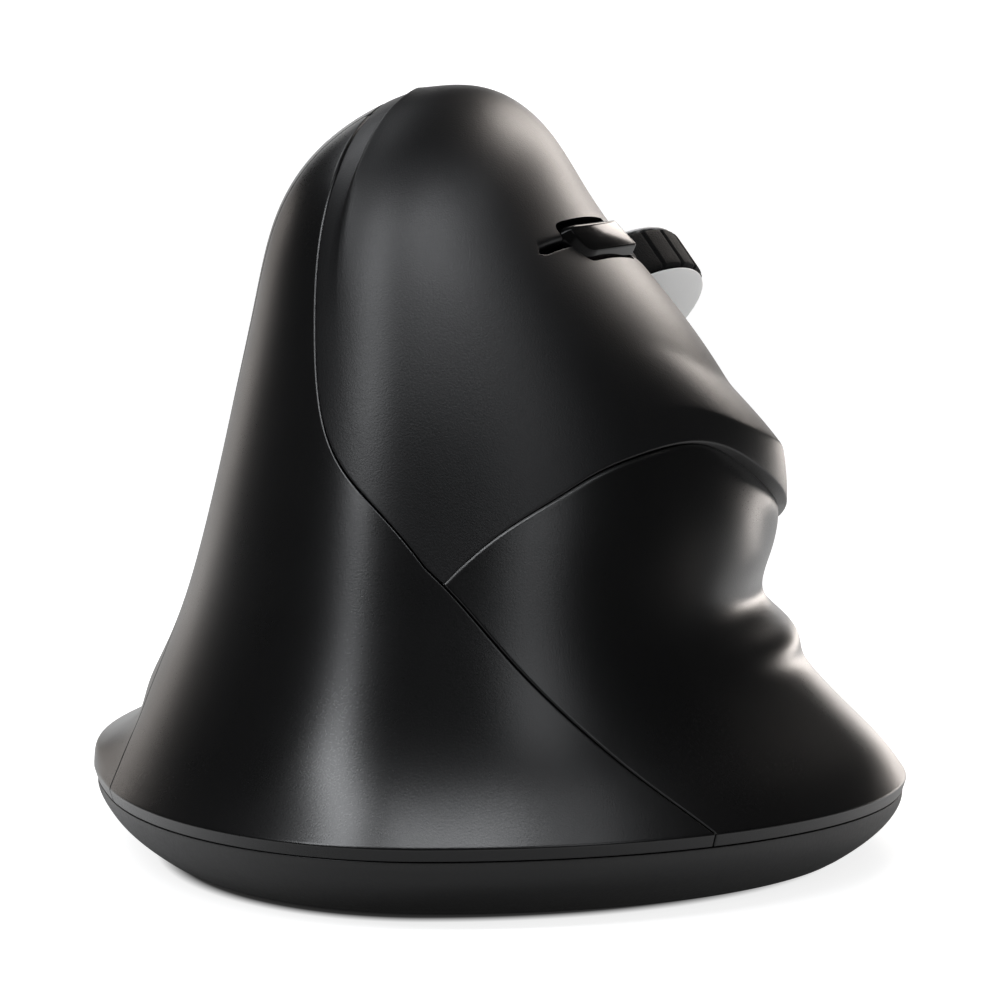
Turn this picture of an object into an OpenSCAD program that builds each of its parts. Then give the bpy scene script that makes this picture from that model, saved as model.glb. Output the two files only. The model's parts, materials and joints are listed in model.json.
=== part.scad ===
// Vertical ergonomic mouse, right-handed, wireless.
// Sizes are in millimetres. +X is the finger side, +Y is forward, away from the palm, and +Z is up.
// The table is at z = 0 and the origin is under the middle of the foot.
//
// The body is a stack of horizontal sections. Each section is four quarter ellipses that meet at its
// left, right, rear and front points. A place on the body is an angle round the body (0 at the rear,
// 90 at the finger side, 180 at the front, -90 at the thumb side) and a level (0 at the foot's rim,
// top_level at the crown). Seams are curves through a few such places.

/* [Body] */
// Width over the foot
body_width = 81; // [78:0.5:86]
// Length over the foot
body_length = 116; // [112:0.5:124]
// Height above the table
body_height = 76; // [74:0.5:80]
// Shell wall
wall = 2; // [1.6:0.1:2.2]
// Gap at fixed seams
seam_gap = 0.3; // [0.2:0.05:0.4]
// Height of the upright strip under the foot's rim
strip_height = 1.2; // [0.8:0.1:1.6]

/* [Finger side] */
// How far the button lip stands out
lip_out = 2.7; // [1:0.1:3]
// How far the ring-finger ridge stands out
ridge_out = 1.1; // [0.5:0.1:1.6]
// How deep the ring-finger groove is
groove_in = 1.0; // [0.5:0.1:1.4]
// Width of the bevelled edge of the button cover
bevel_width = 3; // [1.5:0.1:3.5]
// How far the button cover dips past the step beside that bevel
scoop_depth = 0.35; // [0.2:0.05:0.5]
// Width of the slit between the two main buttons
slit_width = 1.0; // [0.8:0.1:1.4]
// Gap round the main buttons
button_gap = 0.6; // [0.5:0.05:0.8]
// Gap under the button lip
lip_gap = 1.6; // [1.2:0.1:1.8]

/* [Wheel] */
// Wheel diameter over the tyre
wheel_diameter = 21; // [19:0.5:21.5]
// Tyre width
tyre_width = 6; // [5:0.1:6.2]
// Tyre thickness
tyre_thickness = 1.4; // [1:0.1:1.8]
// Number of tread pads
tread_pads = 22; // [16:1:28]
// Width of the groove between pads
tread_groove = 0.5; // [0.3:0.1:0.7]
// Axle diameter
axle_diameter = 2; // [1.6:0.1:2.4]
// Running clearance of the axle, on the radius
axle_clearance = 0.05; // [0.02:0.01:0.1]
// Clearance beside the wheel
wheel_side_gap = 0.5; // [0.4:0.1:0.6]

/* [Small buttons] */
// Speed button length
speed_length = 14.5; // [12:0.5:15]
// Speed button width
speed_width = 4; // [3.5:0.1:4.6]
// How far the speed button stands out
speed_rise = 1; // [0.6:0.1:1.6]
// Thumb button length
thumb_length = 12; // [10:0.5:12.5]
// Thumb button width
thumb_width = 5.6; // [5:0.1:6.5]
// How far the thumb buttons stand out
thumb_rise = 0.4; // [0.4:0.1:1.2]
// Gap round the small buttons
small_gap = 0.4; // [0.35:0.05:0.5]
// Free travel left above every switch
press_gap = 0.8; // [0.7:0.05:0.9]

/* [Base] */
// Floor thickness
floor_wall = 2; // [1.6:0.1:2.4]
// How far the hull pulls in under the rim
hull_inset = 5.2; // [4:0.1:7]
// Height of the glide feet below the floor
foot_height = 0.6; // [0.4:0.1:0.8]
// Glide foot diameter
foot_diameter = 8; // [6:0.5:8.5]
// Depth of the recess that holds a glide foot
foot_recess = 0.4; // [0.3:0.1:0.6]

/* [Power] */
// Battery cell diameter
cell_diameter = 14; // [13.5:0.1:14.5]
// Battery cell length
cell_length = 50; // [48:0.5:50.5]
// Battery door thickness
door_thickness = 1.2; // [1:0.1:1.4]
// Hinge barrel radius of the battery door
barrel_radius = 0.9; // [0.8:0.05:0.95]
// Hinge pin radius of the battery door
pin_radius = 0.5; // [0.4:0.05:0.55]
// Clearance round the battery door
door_gap = 0.3; // [0.25:0.05:0.4]
// Receiver width
receiver_width = 14; // [12:0.5:15]
// Receiver thickness
receiver_thickness = 6.4; // [5:0.2:7]
// Clearance round the receiver
receiver_gap = 0.4; // [0.3:0.05:0.5]
// Power slider travel
slider_travel = 2.5; // [2:0.1:3]

/* [Electronics] */
// Circuit board thickness
board_thickness = 1.2; // [1:0.1:1.6]
// Main board width
board_width = 27; // [24:0.5:27.5]
// Main board length
board_length = 62; // [56:0.5:64]
// Micro switch height
switch_height = 6.5; // [6:0.1:7]
// Tact switch height
tact_height = 3.5; // [3:0.1:3.8]
// Screw shaft diameter
screw_diameter = 2.2; // [2:0.1:2.6]
// Screw head diameter
screw_head = 4.4; // [4:0.1:4.6]
// Clearance where one piece seats on another
seat_gap = 0.05; // [0.02:0.01:0.1]

/* [Hidden] */
$fn = 48;
tiny = 0.01;

// Body sections from the rim up: [height, left, right, rear, front, spine, left widest, right widest].
// The last one is the crown. They are drawn for a body of 81 by 116 by 76 and follow the body sizes.
sections = [
  [7.5, -40.25, 40.5, -58, 58, -7, 4, -3.5],
  [11, -38, 37.9, -55, 57, -7, 4, -3.5],
  [16, -35.5, 32.8, -51.5, 55, -7, 3, -3.5],
  [24, -32.2, 27.2, -47.5, 52, -7, 2, -3.5],
  [34, -29.4, 26.8, -43, 49, -7, 0, -3.5],
  [44, -26.8, 24, -38.5, 44, -7, -1, -3.5],
  [54, -24.4, 17.5, -33, 36, -7, -2, -3.5],
  [63, -22.3, 10.1, -27, 26, -7, -2, -3.5],
  [70, -17.6, 6, -20, 15, -6, -3, -3],
  [74.5, -10.4, 1.5, -11, 5, -5, -3, -3],
  [76, -4, -4, -3, -3, -4, -3, -3],
];
top_level = len(sections) - 1;
fit_x = body_width / 81;
fit_y = body_length / 116;
fit_z = body_height / 76;
fit = [fit_z, fit_x, fit_x, fit_y, fit_y, fit_x, fit_y, fit_y];
rim_z = sections[0][0] * fit_z;

// Seams, each a list of [angle, level]. The long seam runs from the foot at the right, up the edge of
// the button cover, past the crown and down to the front. The lip seam is the cover's lower edge, and
// the slit parts the index button from the middle button.
long_seam = [
  [35, 0], [30, 1.02], [23.5, 2.05], [14, 2.9], [3, 3.67], [-17, 4.46], [-31, 5.12], [-39, 6.2],
  [-43, 7.3], [-59, 8.28], [-90, 8.85], [-135, 8.6], [-160, 7.6], [-174, 6.6], [-182, 5.6],
];
lip_seam = [
  [3, 3.67], [19, 4.32], [28, 4.58], [38.5, 4.74], [49, 4.82], [63, 4.75], [81, 4.2], [106, 3.65],
  [131, 3.28], [155, 3], [178, 2.95],
];
slit = [
  [-6, 4.4], [-2, 5], [2, 5.6], [16, 6.3], [34.5, 6.7], [56, 6.8], [84, 6.56], [112, 6.12],
  [138, 5.6], [160, 5], [178, 4.6],
];
front_angle = 178;
corner = 4;
hinge = 4;
seam_end = 10;
crown_join = 9.6;
thumb_angle = -70;
thumb_bow = 10;
strip_lean = 0.4;
crease_rise = 0.45;
crease_step = 0.35;
scoop_reach = 4;

// Smooth curves through a list: a cubic B-spline whose knots are moved out to meet the list.
function past(q, i) =
  i < 0 ? 2 * q[0] - q[-i] :
  i >= len(q) ? 2 * q[len(q) - 1] - q[2 * len(q) - 2 - i] : q[i];
function knots(q) = [for (i = [-1:len(q)]) (8 * past(q, i) - past(q, i - 1) - past(q, i + 1)) / 6];
function curve(k, t) =
  let (i = min(max(floor(t), 0), len(k) - 4), f = t - i)
  ((1 - f) ^ 3 * k[i] + (3 * f ^ 3 - 6 * f ^ 2 + 4) * k[i + 1]
    + (3 * f ^ 2 - 3 * f ^ 3 + 3 * f + 1) * k[i + 2] + f ^ 3 * k[i + 3]) / 6;
function ramp(a, b, x) = let (f = min(max((x - a) / (b - a), 0), 1)) f * f * (3 - 2 * f);
function bell(x, w) = exp(-(x / w) ^ 2);
function mix(a, b, f) = a + (b - a) * f;
function unit(v) = v / norm(v);

// The sections go up one side and down the other, so that the crown is smooth.
function scaled(s) = [for (i = [0:7]) s[i] * fit[i]];
function turned(s) = [s[0], s[2], s[1], s[4], s[3], s[5], s[6], s[7]];
section_list = [
  for (s = sections) scaled(s),
  for (i = [top_level - 1:-1:0]) turned(scaled(sections[i])),
];
section_knots = knots(section_list);

// Flat map of the body: the crown is at the middle and the rim is a circle of radius top_level.
function flat(a) = (top_level - a[1]) * [sin(a[0]), -cos(a[0])];
function place(c) = [atan2(c[0], -c[1]), top_level - norm([c[0], c[1]])];
long_knots = knots([for (a = long_seam) flat(a)]);
lip_knots = knots([for (a = lip_seam) flat(a)]);
slit_knots = knots([for (a = slit) flat(a)]);
function on_long(u) = curve(long_knots, u);
function on_lip(u) = curve(lip_knots, u);
function on_slit(u) = curve(slit_knots, u);

// How far the skin stands out: the ring-finger ridge and groove, the thumb's hollow, the thumb rest,
// and on the button cover its lip.
function finger_form(a, z) =
  ramp(45, 80, a) * (1 - ramp(115, 150, a)) * (ridge_out * bell(z - 21.8, 2) - groove_in * bell(z - 26, 2.6));
function thumb_form(a, z) =
  let (b = a > 0 ? a - 360 : a, w = bell(b + 112, 30) * ramp(-72, -88, b))
  w * (2.7 * bell(z - 9.7, 2.2) - 1.2 * bell(z - 13.8, 2) - 1.6 * bell(z - 30, 11));
function lip_slope(z) = min(max((48.4 - z) / 4.7, 0), 1);
function lip_form(a, z) =
  let (
    h = z + 3.4 * ramp(80, 110, a),
    step = (lip_slope(h - 0.5) + lip_slope(h) + lip_slope(h + 0.5)) / 3
  )
  lip_out * ramp(42, 62, a) * (1 - ramp(120, 165, a)) * step * (1 - 0.35 * (1 - ramp(33.5, 40, z)));

// The skin at [angle, level]; level -1 is the foot of the upright strip.
function skin(a, covered = 0) =
  let (
    s = curve(section_knots, max(a[1], 0)),
    o = curve(section_knots, 2 * top_level - max(a[1], 0)),
    z = s[0] / fit_z,
    ca = cos(a[0]),
    sa = sin(a[0]),
    mid_y = sa >= 0 ? s[7] : s[6],
    half_x = sa >= 0 ? o[1] - s[5] : s[5] - s[1],
    half_y = ca >= 0 ? mid_y - s[3] : o[3] - mid_y,
    across = unit([sa / max(half_x, 0.1), -ca / max(half_y, 0.1)]),
    wrapped = a[0] > 180 ? a[0] - 360 : a[0],
    out = finger_form(wrapped, z) + thumb_form(wrapped, z) + covered * lip_form(wrapped, z)
      + min(a[1], 0) * strip_lean
  )
  [
    s[5] + half_x * sa + out * across[0],
    mid_y - half_y * ca + out * across[1],
    s[0] + min(a[1], 0) * strip_height,
  ];

// Outward direction of the skin, without the lip.
function facing(a) =
  let (
    t = min(max(a[1], 0.03), top_level - 0.06),
    e = 0.03,
    east = skin([a[0] + 1, t]) - skin([a[0] - 1, t]),
    up = skin([a[0], t + e]) - skin([a[0], t - e]),
    n = unit(cross(east, up))
  )
  a[1] < 0 ? unit([n[0], n[1], 0]) : n;
function lift_of(g) = len(g) > 2 ? g[2] : 0;

// One shell panel. grid is rows of [angle, level, lift]; lift may be left out, and walls close it all round.
module panel(grid, covered = 0) {
  rows = len(grid);
  cols = len(grid[0]);
  count = rows * cols;
  outer = [for (r = grid) for (g = r) skin(g, covered) + lift_of(g) * facing(g)];
  inner = [for (r = grid) for (g = r) skin(g, covered) + (lift_of(g) - wall) * facing(g)];
  quads = [
    for (i = [0:rows - 2]) for (j = [0:cols - 2])
      let (k = i * cols + j) [k, k + 1, k + cols + 1, k + cols],
  ];
  edge = [
    for (j = [0:cols - 2]) [j, j + 1],
    for (i = [0:rows - 2]) [i * cols + cols - 1, (i + 1) * cols + cols - 1],
    for (j = [cols - 1:-1:1]) [(rows - 1) * cols + j, (rows - 1) * cols + j - 1],
    for (i = [rows - 1:-1:1]) [i * cols, (i - 1) * cols],
  ];
  faces = [
    for (q = quads) each [[q[0], q[2], q[1]], [q[0], q[3], q[2]]],
    for (q = quads) each [[q[0] + count, q[1] + count, q[2] + count], [q[0] + count, q[2] + count, q[3] + count]],
    for (e = edge) each [[e[0], e[1], e[1] + count], [e[0], e[1] + count, e[0] + count]],
  ];
  polyhedron(points = concat(outer, inner), faces = faces, convexity = 6);
}

// Share of the way along a row that a gap takes up.
function share(a, b, gap, covered = 0) =
  let (m = skin(mix(a, b, 0.5), covered))
  min(gap / (norm(skin(a, covered) - m) + norm(skin(b, covered) - m)), 0.3);
// A point beside the long seam, gap away across it; the cover is on its positive side.
function beside(u, gap) =
  let (
    e = 0.05,
    c = on_long(u),
    t = unit(on_long(u + e) - on_long(u - e)),
    side = [t[1], -t[0]],
    reach = norm(skin(place(c + e * side)) - skin(place(c - e * side))) / (2 * e)
  )
  c + side * gap / reach;
function steps(n, a = 0, b = 1) = [for (i = [0:n]) mix(a, b, i / n)];

// The seam between the palm and the thumb, by share of the way up to where it meets the long seam.
join_place = place(on_long(crown_join));
function thumb_seam(v) = [mix(thumb_angle, join_place[0], v) - thumb_bow * sin(180 * v), v * join_place[1]];

// Palm shell, from the thumb seam to the long seam.
function palm_row(v, n) =
  let (a = thumb_seam(v), b = place(beside(v * crown_join, -seam_gap / 2)))
  [for (w = steps(n, share(a, b, seam_gap / 2), 1)) mix(a, b, w)];
function level_row(row, level) = [for (g = row) [g[0], level]];
function footed(rows) = [
  level_row(rows[0], -1),
  level_row(rows[0], 0),
  for (i = [1:len(rows) - 1]) rows[i],
];
palm_grid = footed([for (v = steps(20, 0, 0.99)) palm_row(v, 18)]);

// Finger shell, from the long seam to the front seam, under the lip seam.
function finger_place(w, v) =
  let (
    low = [mix(long_seam[0][0], front_angle, w), 0],
    high = place(on_lip(w * seam_end)),
    bow = place(beside(v * corner, seam_gap / 2)) - mix(long_seam[0], place(on_lip(0)), v)
  )
  mix(low, high, v) + bow * (1 - w) ^ 3;
function finger_reach(w) =
  1 - share(finger_place(w, 0), finger_place(w, 1), mix(seam_gap, lip_gap, ramp(0, 0.3, w)));
function finger_row(v, n) =
  let (e = share(finger_place(0, v), finger_place(1, v), seam_gap / 2))
  [for (w = steps(n, 0, 1 - e)) finger_place(w, v * finger_reach(w))];
finger_grid = footed([for (v = steps(16)) finger_row(v, 24)]);

// Thumb shell, from the front seam round to the thumb seam, under the long seam.
function thumb_place(w, v) =
  let (
    top = place(beside(mix(len(long_seam) - 1, crown_join, w), -seam_gap / 2)),
    high = [w < 1 && top[0] < 0 || w == 1 ? top[0] + 360 : top[0], top[1]],
    low = [mix(front_angle, thumb_angle + 360, w), 0],
    a = mix(low, high, v)
  )
  [a[0] - thumb_bow * sin(180 * v) * w, a[1]];
function thumb_row(v, n) =
  let (
    a = thumb_place(0, v),
    b = thumb_place(1, v),
    first = share(a, b, mix(seam_gap / 2, button_gap, ramp(0.2, 0.5, v))),
    last = share(a, b, seam_gap / 2)
  )
  [for (w = steps(n, first, 1 - last)) thumb_place(w, v)];
thumb_grid = footed([for (v = steps(18)) thumb_row(v, 20)]);

// Button cover pieces run between two curves of the flat map, at steps along both.
function cover_lift(u, rise, fall, past) =
  ramp(2.4, 4.2, u)
    * (crease_rise * rise * (1 - fall) - scoop_depth * past / scoop_reach * exp(1 - past / scoop_reach));
function as_place(c, lift) = [place(c)[0], place(c)[1], lift];
function span(a, b) = let (m = skin(place(mix(a, b, 0.5)), 1)) norm(skin(place(a), 1) - m) + norm(skin(place(b), 1) - m);
function cover_row(u, a, b, gap_a, gap_b, n, bevelled) =
  let (
    long = span(a, b),
    first = min(gap_a / long, 0.3),
    last = 1 - min(gap_b / long, 0.3),
    crease = min(first + bevel_width / long, 0.45),
    e = min(crease_step / long, (crease - first) / 3)
  )
  bevelled
    ? [for (w = concat([first, crease - e], steps(n, crease + e, last)))
        let (
          rise = w < crease ? 0 : 1,
          fall = ramp(5, 18, (w - first) * long),
          past = max(w - crease, 0) * long
        )
        as_place(mix(a, b, w), cover_lift(u, rise, fall, past))]
    : [for (w = steps(n, first, last)) as_place(mix(a, b, w), 0)];
cover_grid = [
  for (u = steps(14, 0.12, hinge - 0.02))
    cover_row(u, beside(corner + u, seam_gap / 2), on_lip(u), 0, seam_gap / 2, 12, true),
];
function index_gap(u) = button_gap - seam_gap / 2 + 0.5 * ramp(8, 9.5, u);
index_grid = [
  for (u = steps(18, hinge + 0.02, seam_end - 0.07))
    cover_row(u, beside(corner + u, index_gap(u)), on_slit(u), 0, slit_width / 2, 10, true),
];
middle_grid = [
  for (u = steps(18, hinge + 0.02, seam_end - 0.07))
    cover_row(u, on_slit(u), on_lip(u), slit_width / 2, seam_gap / 2, 10, false),
];

// Working frames: the wheel, the speed button and the thumb buttons. In each, x runs down the slope of
// the skin, y along it and z straight out.
wheel_angle = 112;
wheel_level = 6.12;
wheel_turn = [0, 59, 9];
wheel_roll = -29;
wheel_sink = 5.2;
speed_place = [64.5, 6.8];
speed_turn = [0, 52, -18];
speed_roll = -3;
thumb_pad_place = [-121, 4.65];
thumb_turn = [0, 79, 166];

function turn_z(v, a) = [v[0] * cos(a) - v[1] * sin(a), v[0] * sin(a) + v[1] * cos(a), v[2]];
function turn_y(v, a) = [v[0] * cos(a) + v[2] * sin(a), v[1], v[2] * cos(a) - v[0] * sin(a)];
function out_of(v, turn, roll) = turn_z(turn_y(turn_z(v, roll), turn[1]), turn[2]);
wheel_centre = skin([wheel_angle, wheel_level]) - wheel_sink * out_of([0, 0, 1], wheel_turn, wheel_roll);
module at_wheel() {
  translate(wheel_centre) rotate(wheel_turn) rotate([0, 0, wheel_roll]) children();
}
module at_speed() {
  translate(skin(speed_place)) rotate(speed_turn) rotate([0, 0, speed_roll]) children();
}
module at_thumb() {
  translate(skin(thumb_pad_place)) rotate(thumb_turn) children();
}

// Plain shapes.
module slab(x, y, z) {
  translate([x[0], y[0], z[0]]) cube([x[1] - x[0], y[1] - y[0], z[1] - z[0]]);
}
module rod(r, z) {
  translate([0, 0, z[0]]) cylinder(r = r, h = z[1] - z[0]);
}
module pill(length, width, z) {
  translate([0, 0, z[0]]) linear_extrude(z[1] - z[0]) {
    square([width, length - width], center = true);
    for (s = [-1, 1]) translate([0, s * (length - width) / 2]) circle(d = width);
  }
}

// Heights of the things on the base.
floor_z = foot_height + floor_wall;
board_z = floor_z + 4;
board_top = board_z + board_thickness;
hull_top = rim_z - strip_height - seam_gap;
cell_x = 17.5;
cell_z = floor_z + 0.2 + cell_diameter / 2;
deck_z = cell_z + cell_diameter / 2 + 0.8;
deck_thickness = 2;
post_radius = 3.2;
boss_radius = 4;
screw_places = [[-23.5, -22], [-22.6, 28], [8, -33], [5, 38]];
foot_places = [[-14, 42], [13, 37], [-20, -34], [16, -35]];
board_x = [-19, -19 + board_width];
board_y = [-29, -29 + board_length];
stand_places = [
  [board_x[0] + 3, board_y[0] + 3],
  [board_x[1] - 3, board_y[0] + 3],
  [board_x[0] + 3, board_y[1] - 3],
  [board_x[1] - 3, board_y[1] - 3],
];
sensor_place = [-6, 6];
slider_place = [-14, -12];
dock_place = [-6, -38.5];
dock_wall = 1.2;
receiver_length = 17.5;
receiver_cap = 5.5;
door_x = cell_diameter / 2 + 0.4;
door_y = cell_length / 2 + 1.5;
hinge_y = -door_y - barrel_radius - 0.1;
hinge_z = foot_height + barrel_radius;
contact_gap = 0.1;
contact_plate = 0.5;
contact_room = 1.3;

// Heights under the wheel: the button board and what stands on it.
pad_z = -7.2;
switch_z = pad_z + switch_height;
wheel_radius = wheel_diameter / 2;
rim_radius = wheel_radius - tyre_thickness;
arm_x = tyre_width / 2 + wheel_side_gap;
arm_thickness = 1.4;
carrier_z = [-3.2, -1.4];
carrier_y = wheel_radius + 1;
carrier_bar = 2;
index_switch_place = [-8.6, -1];
middle_switch_place = [11, 6];
board_screw_places = [[-13, -11.5], [13, -11.5], [-5.5, -11.5]];
chassis_z = [-13.5, -11.5];
flex_drop = 13.9;
thumb_board_z = -9;
thumb_plate_z = thumb_board_z - board_thickness - 4;
thumb_pitch = 14.5;

// Node to draw

shell_black = [0.07, 0.07, 0.08];
base_black = [0.1, 0.1, 0.11];
board_green = [0.08, 0.3, 0.16];
part_grey = [0.3, 0.3, 0.32];
steel = [0.7, 0.7, 0.72];

// Rings of the hull: the rim's outline, pulled in as it goes down.
hull_steps = 56;
hull_levels = 5;
function hull_point(a, inset, z) =
  let (p = skin([a, 0]), k = [1 - inset / (body_width / 2), 1 - inset / (body_length / 2)])
  [p[0] * k[0], p[1] * k[1], z];
function hull_pull(f) = strip_lean + 0.05 + hull_inset * f ^ 1.8;
module hull_body(skin_in, low, levels, top_z) {
  rings = [
    for (i = [0:levels]) for (j = [0:hull_steps - 1])
      let (z = mix(top_z, low, i / levels), f = max(hull_top - z, 0) / (hull_top - foot_height))
      hull_point(360 * j / hull_steps, hull_pull(min(f, 1)) + skin_in, z),
  ];
  faces = [
    for (i = [0:levels - 1]) for (j = [0:hull_steps - 1])
      let (a = i * hull_steps + j, b = i * hull_steps + (j + 1) % hull_steps)
      each [[a, b, b + hull_steps], [a, b + hull_steps, a + hull_steps]],
    [for (j = [hull_steps - 1:-1:0]) j],
    [for (j = [0:hull_steps - 1]) levels * hull_steps + j],
  ];
  polyhedron(points = rings, faces = faces, convexity = 4);
}

// Hull-shaped bottom shell with bosses, board stands, receiver dock and battery bay.
module base_tray() {
  color(base_black) difference() {
    union() {
      difference() {
        hull_body(0, foot_height, hull_levels, hull_top);
        hull_body(wall, floor_z, 3, hull_top + 1);
      }
      for (p = screw_places) translate(p) rod(boss_radius, [foot_height + tiny, board_z]);
      for (p = stand_places) translate(p) rod(2.2, [floor_z - 0.5, board_z - seat_gap]);
      translate(dock_place) slab(
        [-1, 1] * (receiver_width / 2 + receiver_gap + dock_wall),
        [-1, 1] * (receiver_thickness / 2 + receiver_gap + dock_wall),
        [foot_height + tiny, foot_height + receiver_length + receiver_gap + 1.5]
      );
      for (s = [-1, 1]) translate([cell_x, s * (door_y + 0.2 + contact_plate + 0.8)]) slab(
        [-1, 1] * (door_x + 1.2), [-0.8, 0.8], [floor_z - 0.5, cell_z + 1]
      );
    }
    for (p = screw_places) translate(p) {
      rod(screw_diameter / 2 + seat_gap, [0, board_z + 1]);
      rod(screw_head / 2 + 0.2, [0, foot_height + 2.2]);
    }
    for (p = foot_places) translate(p) rod(foot_diameter / 2 + 0.15, [0, foot_height + foot_recess]);
    translate(sensor_place) rod(4, [0, floor_z + 1]);
    translate(dock_place) slab(
      [-1, 1] * (receiver_width / 2 + receiver_gap),
      [-1, 1] * (receiver_thickness / 2 + receiver_gap),
      [0, foot_height + receiver_length + receiver_gap]
    );
    translate(slider_place) slab([-1, 1] * 2.1, [-1, 1] * (2.5 + slider_travel / 2 + 0.35), [0, floor_z + 1]);
    translate([cell_x, 0]) slab([-1, 1] * door_x, [-1, 1] * door_y, [0, floor_z + tiny]);
    translate([cell_x, hinge_y]) slab(
      [-1, 1] * door_x, [-barrel_radius - door_gap, barrel_radius + door_gap],
      [0, hinge_z + barrel_radius + door_gap]
    );
    translate([cell_x - door_x - 1.4, hinge_y, hinge_z]) rotate([0, 90, 0])
      cylinder(r = pin_radius + axle_clearance, h = 2 * door_x + 2.8);
  }
}

// Rear shell under the palm.
module palm_shell() {
  color(shell_black) panel(palm_grid);
}

// Left shell, with two slots for the thumb buttons.
module thumb_shell() {
  color(shell_black) difference() {
    panel(thumb_grid);
    at_thumb() for (s = [-1, 1]) translate([0, s * thumb_pitch / 2])
      pill(thumb_length + 2 * small_gap, thumb_width + 2 * small_gap, [-6, 5]);
  }
}

// Lower right shell for the ring finger and the little finger.
module finger_shell() {
  color(shell_black) panel(finger_grid);
}

// Fixed rear of the button cover.
module button_cover() {
  color(shell_black) panel(cover_grid, 1);
}

// Room for the wheel and for the speed button.
module cover_openings() {
  at_wheel() slab(
    [-1, 1] * (tyre_width / 2 + wheel_side_gap), [-1, 1] * (wheel_radius + wheel_side_gap), [-3, 9]
  );
  at_speed() translate([0, 0, -5]) linear_extrude(10) polygon(speed_outline(small_gap));
}

// Upper tongue of the cover, with a plunger over its switch.
module index_button() {
  color(shell_black) difference() {
    union() {
      panel(index_grid, 1);
      at_wheel() translate(index_switch_place) rod(1.4, [switch_z + press_gap, 2.5]);
    }
    cover_openings();
  }
}

// Lower tongue of the cover, with the lip.
module middle_button() {
  color(shell_black) difference() {
    union() {
      panel(middle_grid, 1);
      at_wheel() translate(middle_switch_place) rod(1.4, [switch_z + press_gap, 5.6]);
    }
    cover_openings();
  }
}

// Outline of the speed button, with its ends cut aslant, and this much room round it.
speed_slant = 2;
function speed_outline(gap) =
  let (
    side = speed_width / 2 + gap,
    half = speed_length / 2,
    m = speed_slant / speed_width,
    more = gap * (norm([1, m]) + m),
    less = gap * (norm([1, m]) - m)
  )
  [
    [-side, -half - more],
    [side, speed_slant - half - less],
    [side, half + more],
    [-side, half - speed_slant + less],
  ];

// Gloss button behind the wheel.
module speed_button() {
  half = speed_length / 2;
  side = speed_width / 2;
  color([0.02, 0.02, 0.02]) at_speed() {
    intersection() {
      translate([-side, 0, 0]) rotate([90, 0, 90]) linear_extrude(speed_width) polygon([
        [-half, -3], [half, -3], [half, speed_rise - 0.2], [half - 0.5, speed_rise],
        [-half + 5, speed_rise], [-half + 2, speed_rise - 0.35], [-half, speed_rise - 0.9],
      ]);
      translate([0, 0, -4]) linear_extrude(8) polygon(speed_outline(0));
      translate([0, half, 0]) rotate([90, 0, 0]) linear_extrude(speed_length) polygon([
        [-side, -3], [side, -3], [side, speed_rise - 0.7], [side - 0.5, speed_rise],
        [-side + 0.5, speed_rise], [-side, speed_rise - 0.7],
      ]);
    }
    rod(1.2, [-5, -2.9]);
  }
}

// Tyre with grooves between its pads, held between the flanges of the wheel body.
tread_half = tyre_width / 2 - 0.5;
flange_radius = wheel_radius - 0.3;
module wheel_tyre() {
  color([0.04, 0.04, 0.04]) at_wheel() rotate([0, 90, 0]) difference() {
    rotate_extrude() translate([rim_radius + 0.03, 0]) polygon([
      [0, -tread_half], [tyre_thickness - 0.8, -tread_half], [tyre_thickness - 0.7, -tread_half + 0.2],
      [tyre_thickness - 0.03, -tread_half + 0.4], [tyre_thickness - 0.03, tread_half - 0.4],
      [tyre_thickness - 0.7, tread_half - 0.2], [tyre_thickness - 0.8, tread_half], [0, tread_half],
    ]);
    for (i = [0:tread_pads - 1]) rotate(360 * i / tread_pads)
      slab([wheel_radius - 0.45, wheel_radius + 1], [-1, 1] * tread_groove / 2, [-1, 1] * tyre_width / 2);
  }
}

// Pale wheel body: a flange on each side of the tyre.
module wheel_rim() {
  half = tyre_width / 2 - 0.05;
  inside = tread_half + 0.03;
  color([0.75, 0.75, 0.76]) at_wheel() rotate([0, 90, 0]) rotate_extrude() polygon([
    [axle_diameter / 2 + 0.03, -half], [2.8, -half], [2.9, -half + 0.1], [flange_radius - 0.15, -half + 0.1],
    [flange_radius, -half + 0.25], [flange_radius, -inside], [rim_radius, -inside],
    [rim_radius, inside], [flange_radius, inside], [flange_radius, half - 0.25],
    [flange_radius - 0.15, half - 0.1], [2.9, half - 0.1], [2.8, half], [axle_diameter / 2 + 0.03, half],
  ]);
}

// Steel axle.
module wheel_axle() {
  reach = arm_x + arm_thickness + 0.2;
  color(steel) at_wheel() rotate([0, 90, 0]) rod(axle_diameter / 2, [-reach, reach]);
}

// Frame round the wheel that carries the axle and is pressed onto the wheel switch.
module wheel_carrier() {
  outer = arm_x + arm_thickness;
  color(part_grey) at_wheel() difference() {
    union() {
      for (s = [-1, 1]) {
        translate([s * (arm_x + arm_thickness / 2), 0]) {
          slab([-1, 1] * arm_thickness / 2, [-1, 1] * (carrier_y + carrier_bar), carrier_z);
          slab([-1, 1] * arm_thickness / 2, [-1, 1] * 2.4, [carrier_z[0], axle_diameter / 2 + 0.6]);
        }
        translate([0, s * (carrier_y + carrier_bar / 2)])
          slab([-1, 1] * outer, [-1, 1] * carrier_bar / 2, carrier_z);
      }
    }
    rotate([0, 90, 0]) rod(axle_diameter / 2 + axle_clearance, [-outer - 1, outer + 1]);
  }
}

// Encoder beside the wheel.
module wheel_encoder() {
  x = arm_x + arm_thickness + 0.5;
  color(part_grey) at_wheel() slab([x, x + 2.4], [-3, 3], [pad_z + seat_gap, 1]);
}

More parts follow.
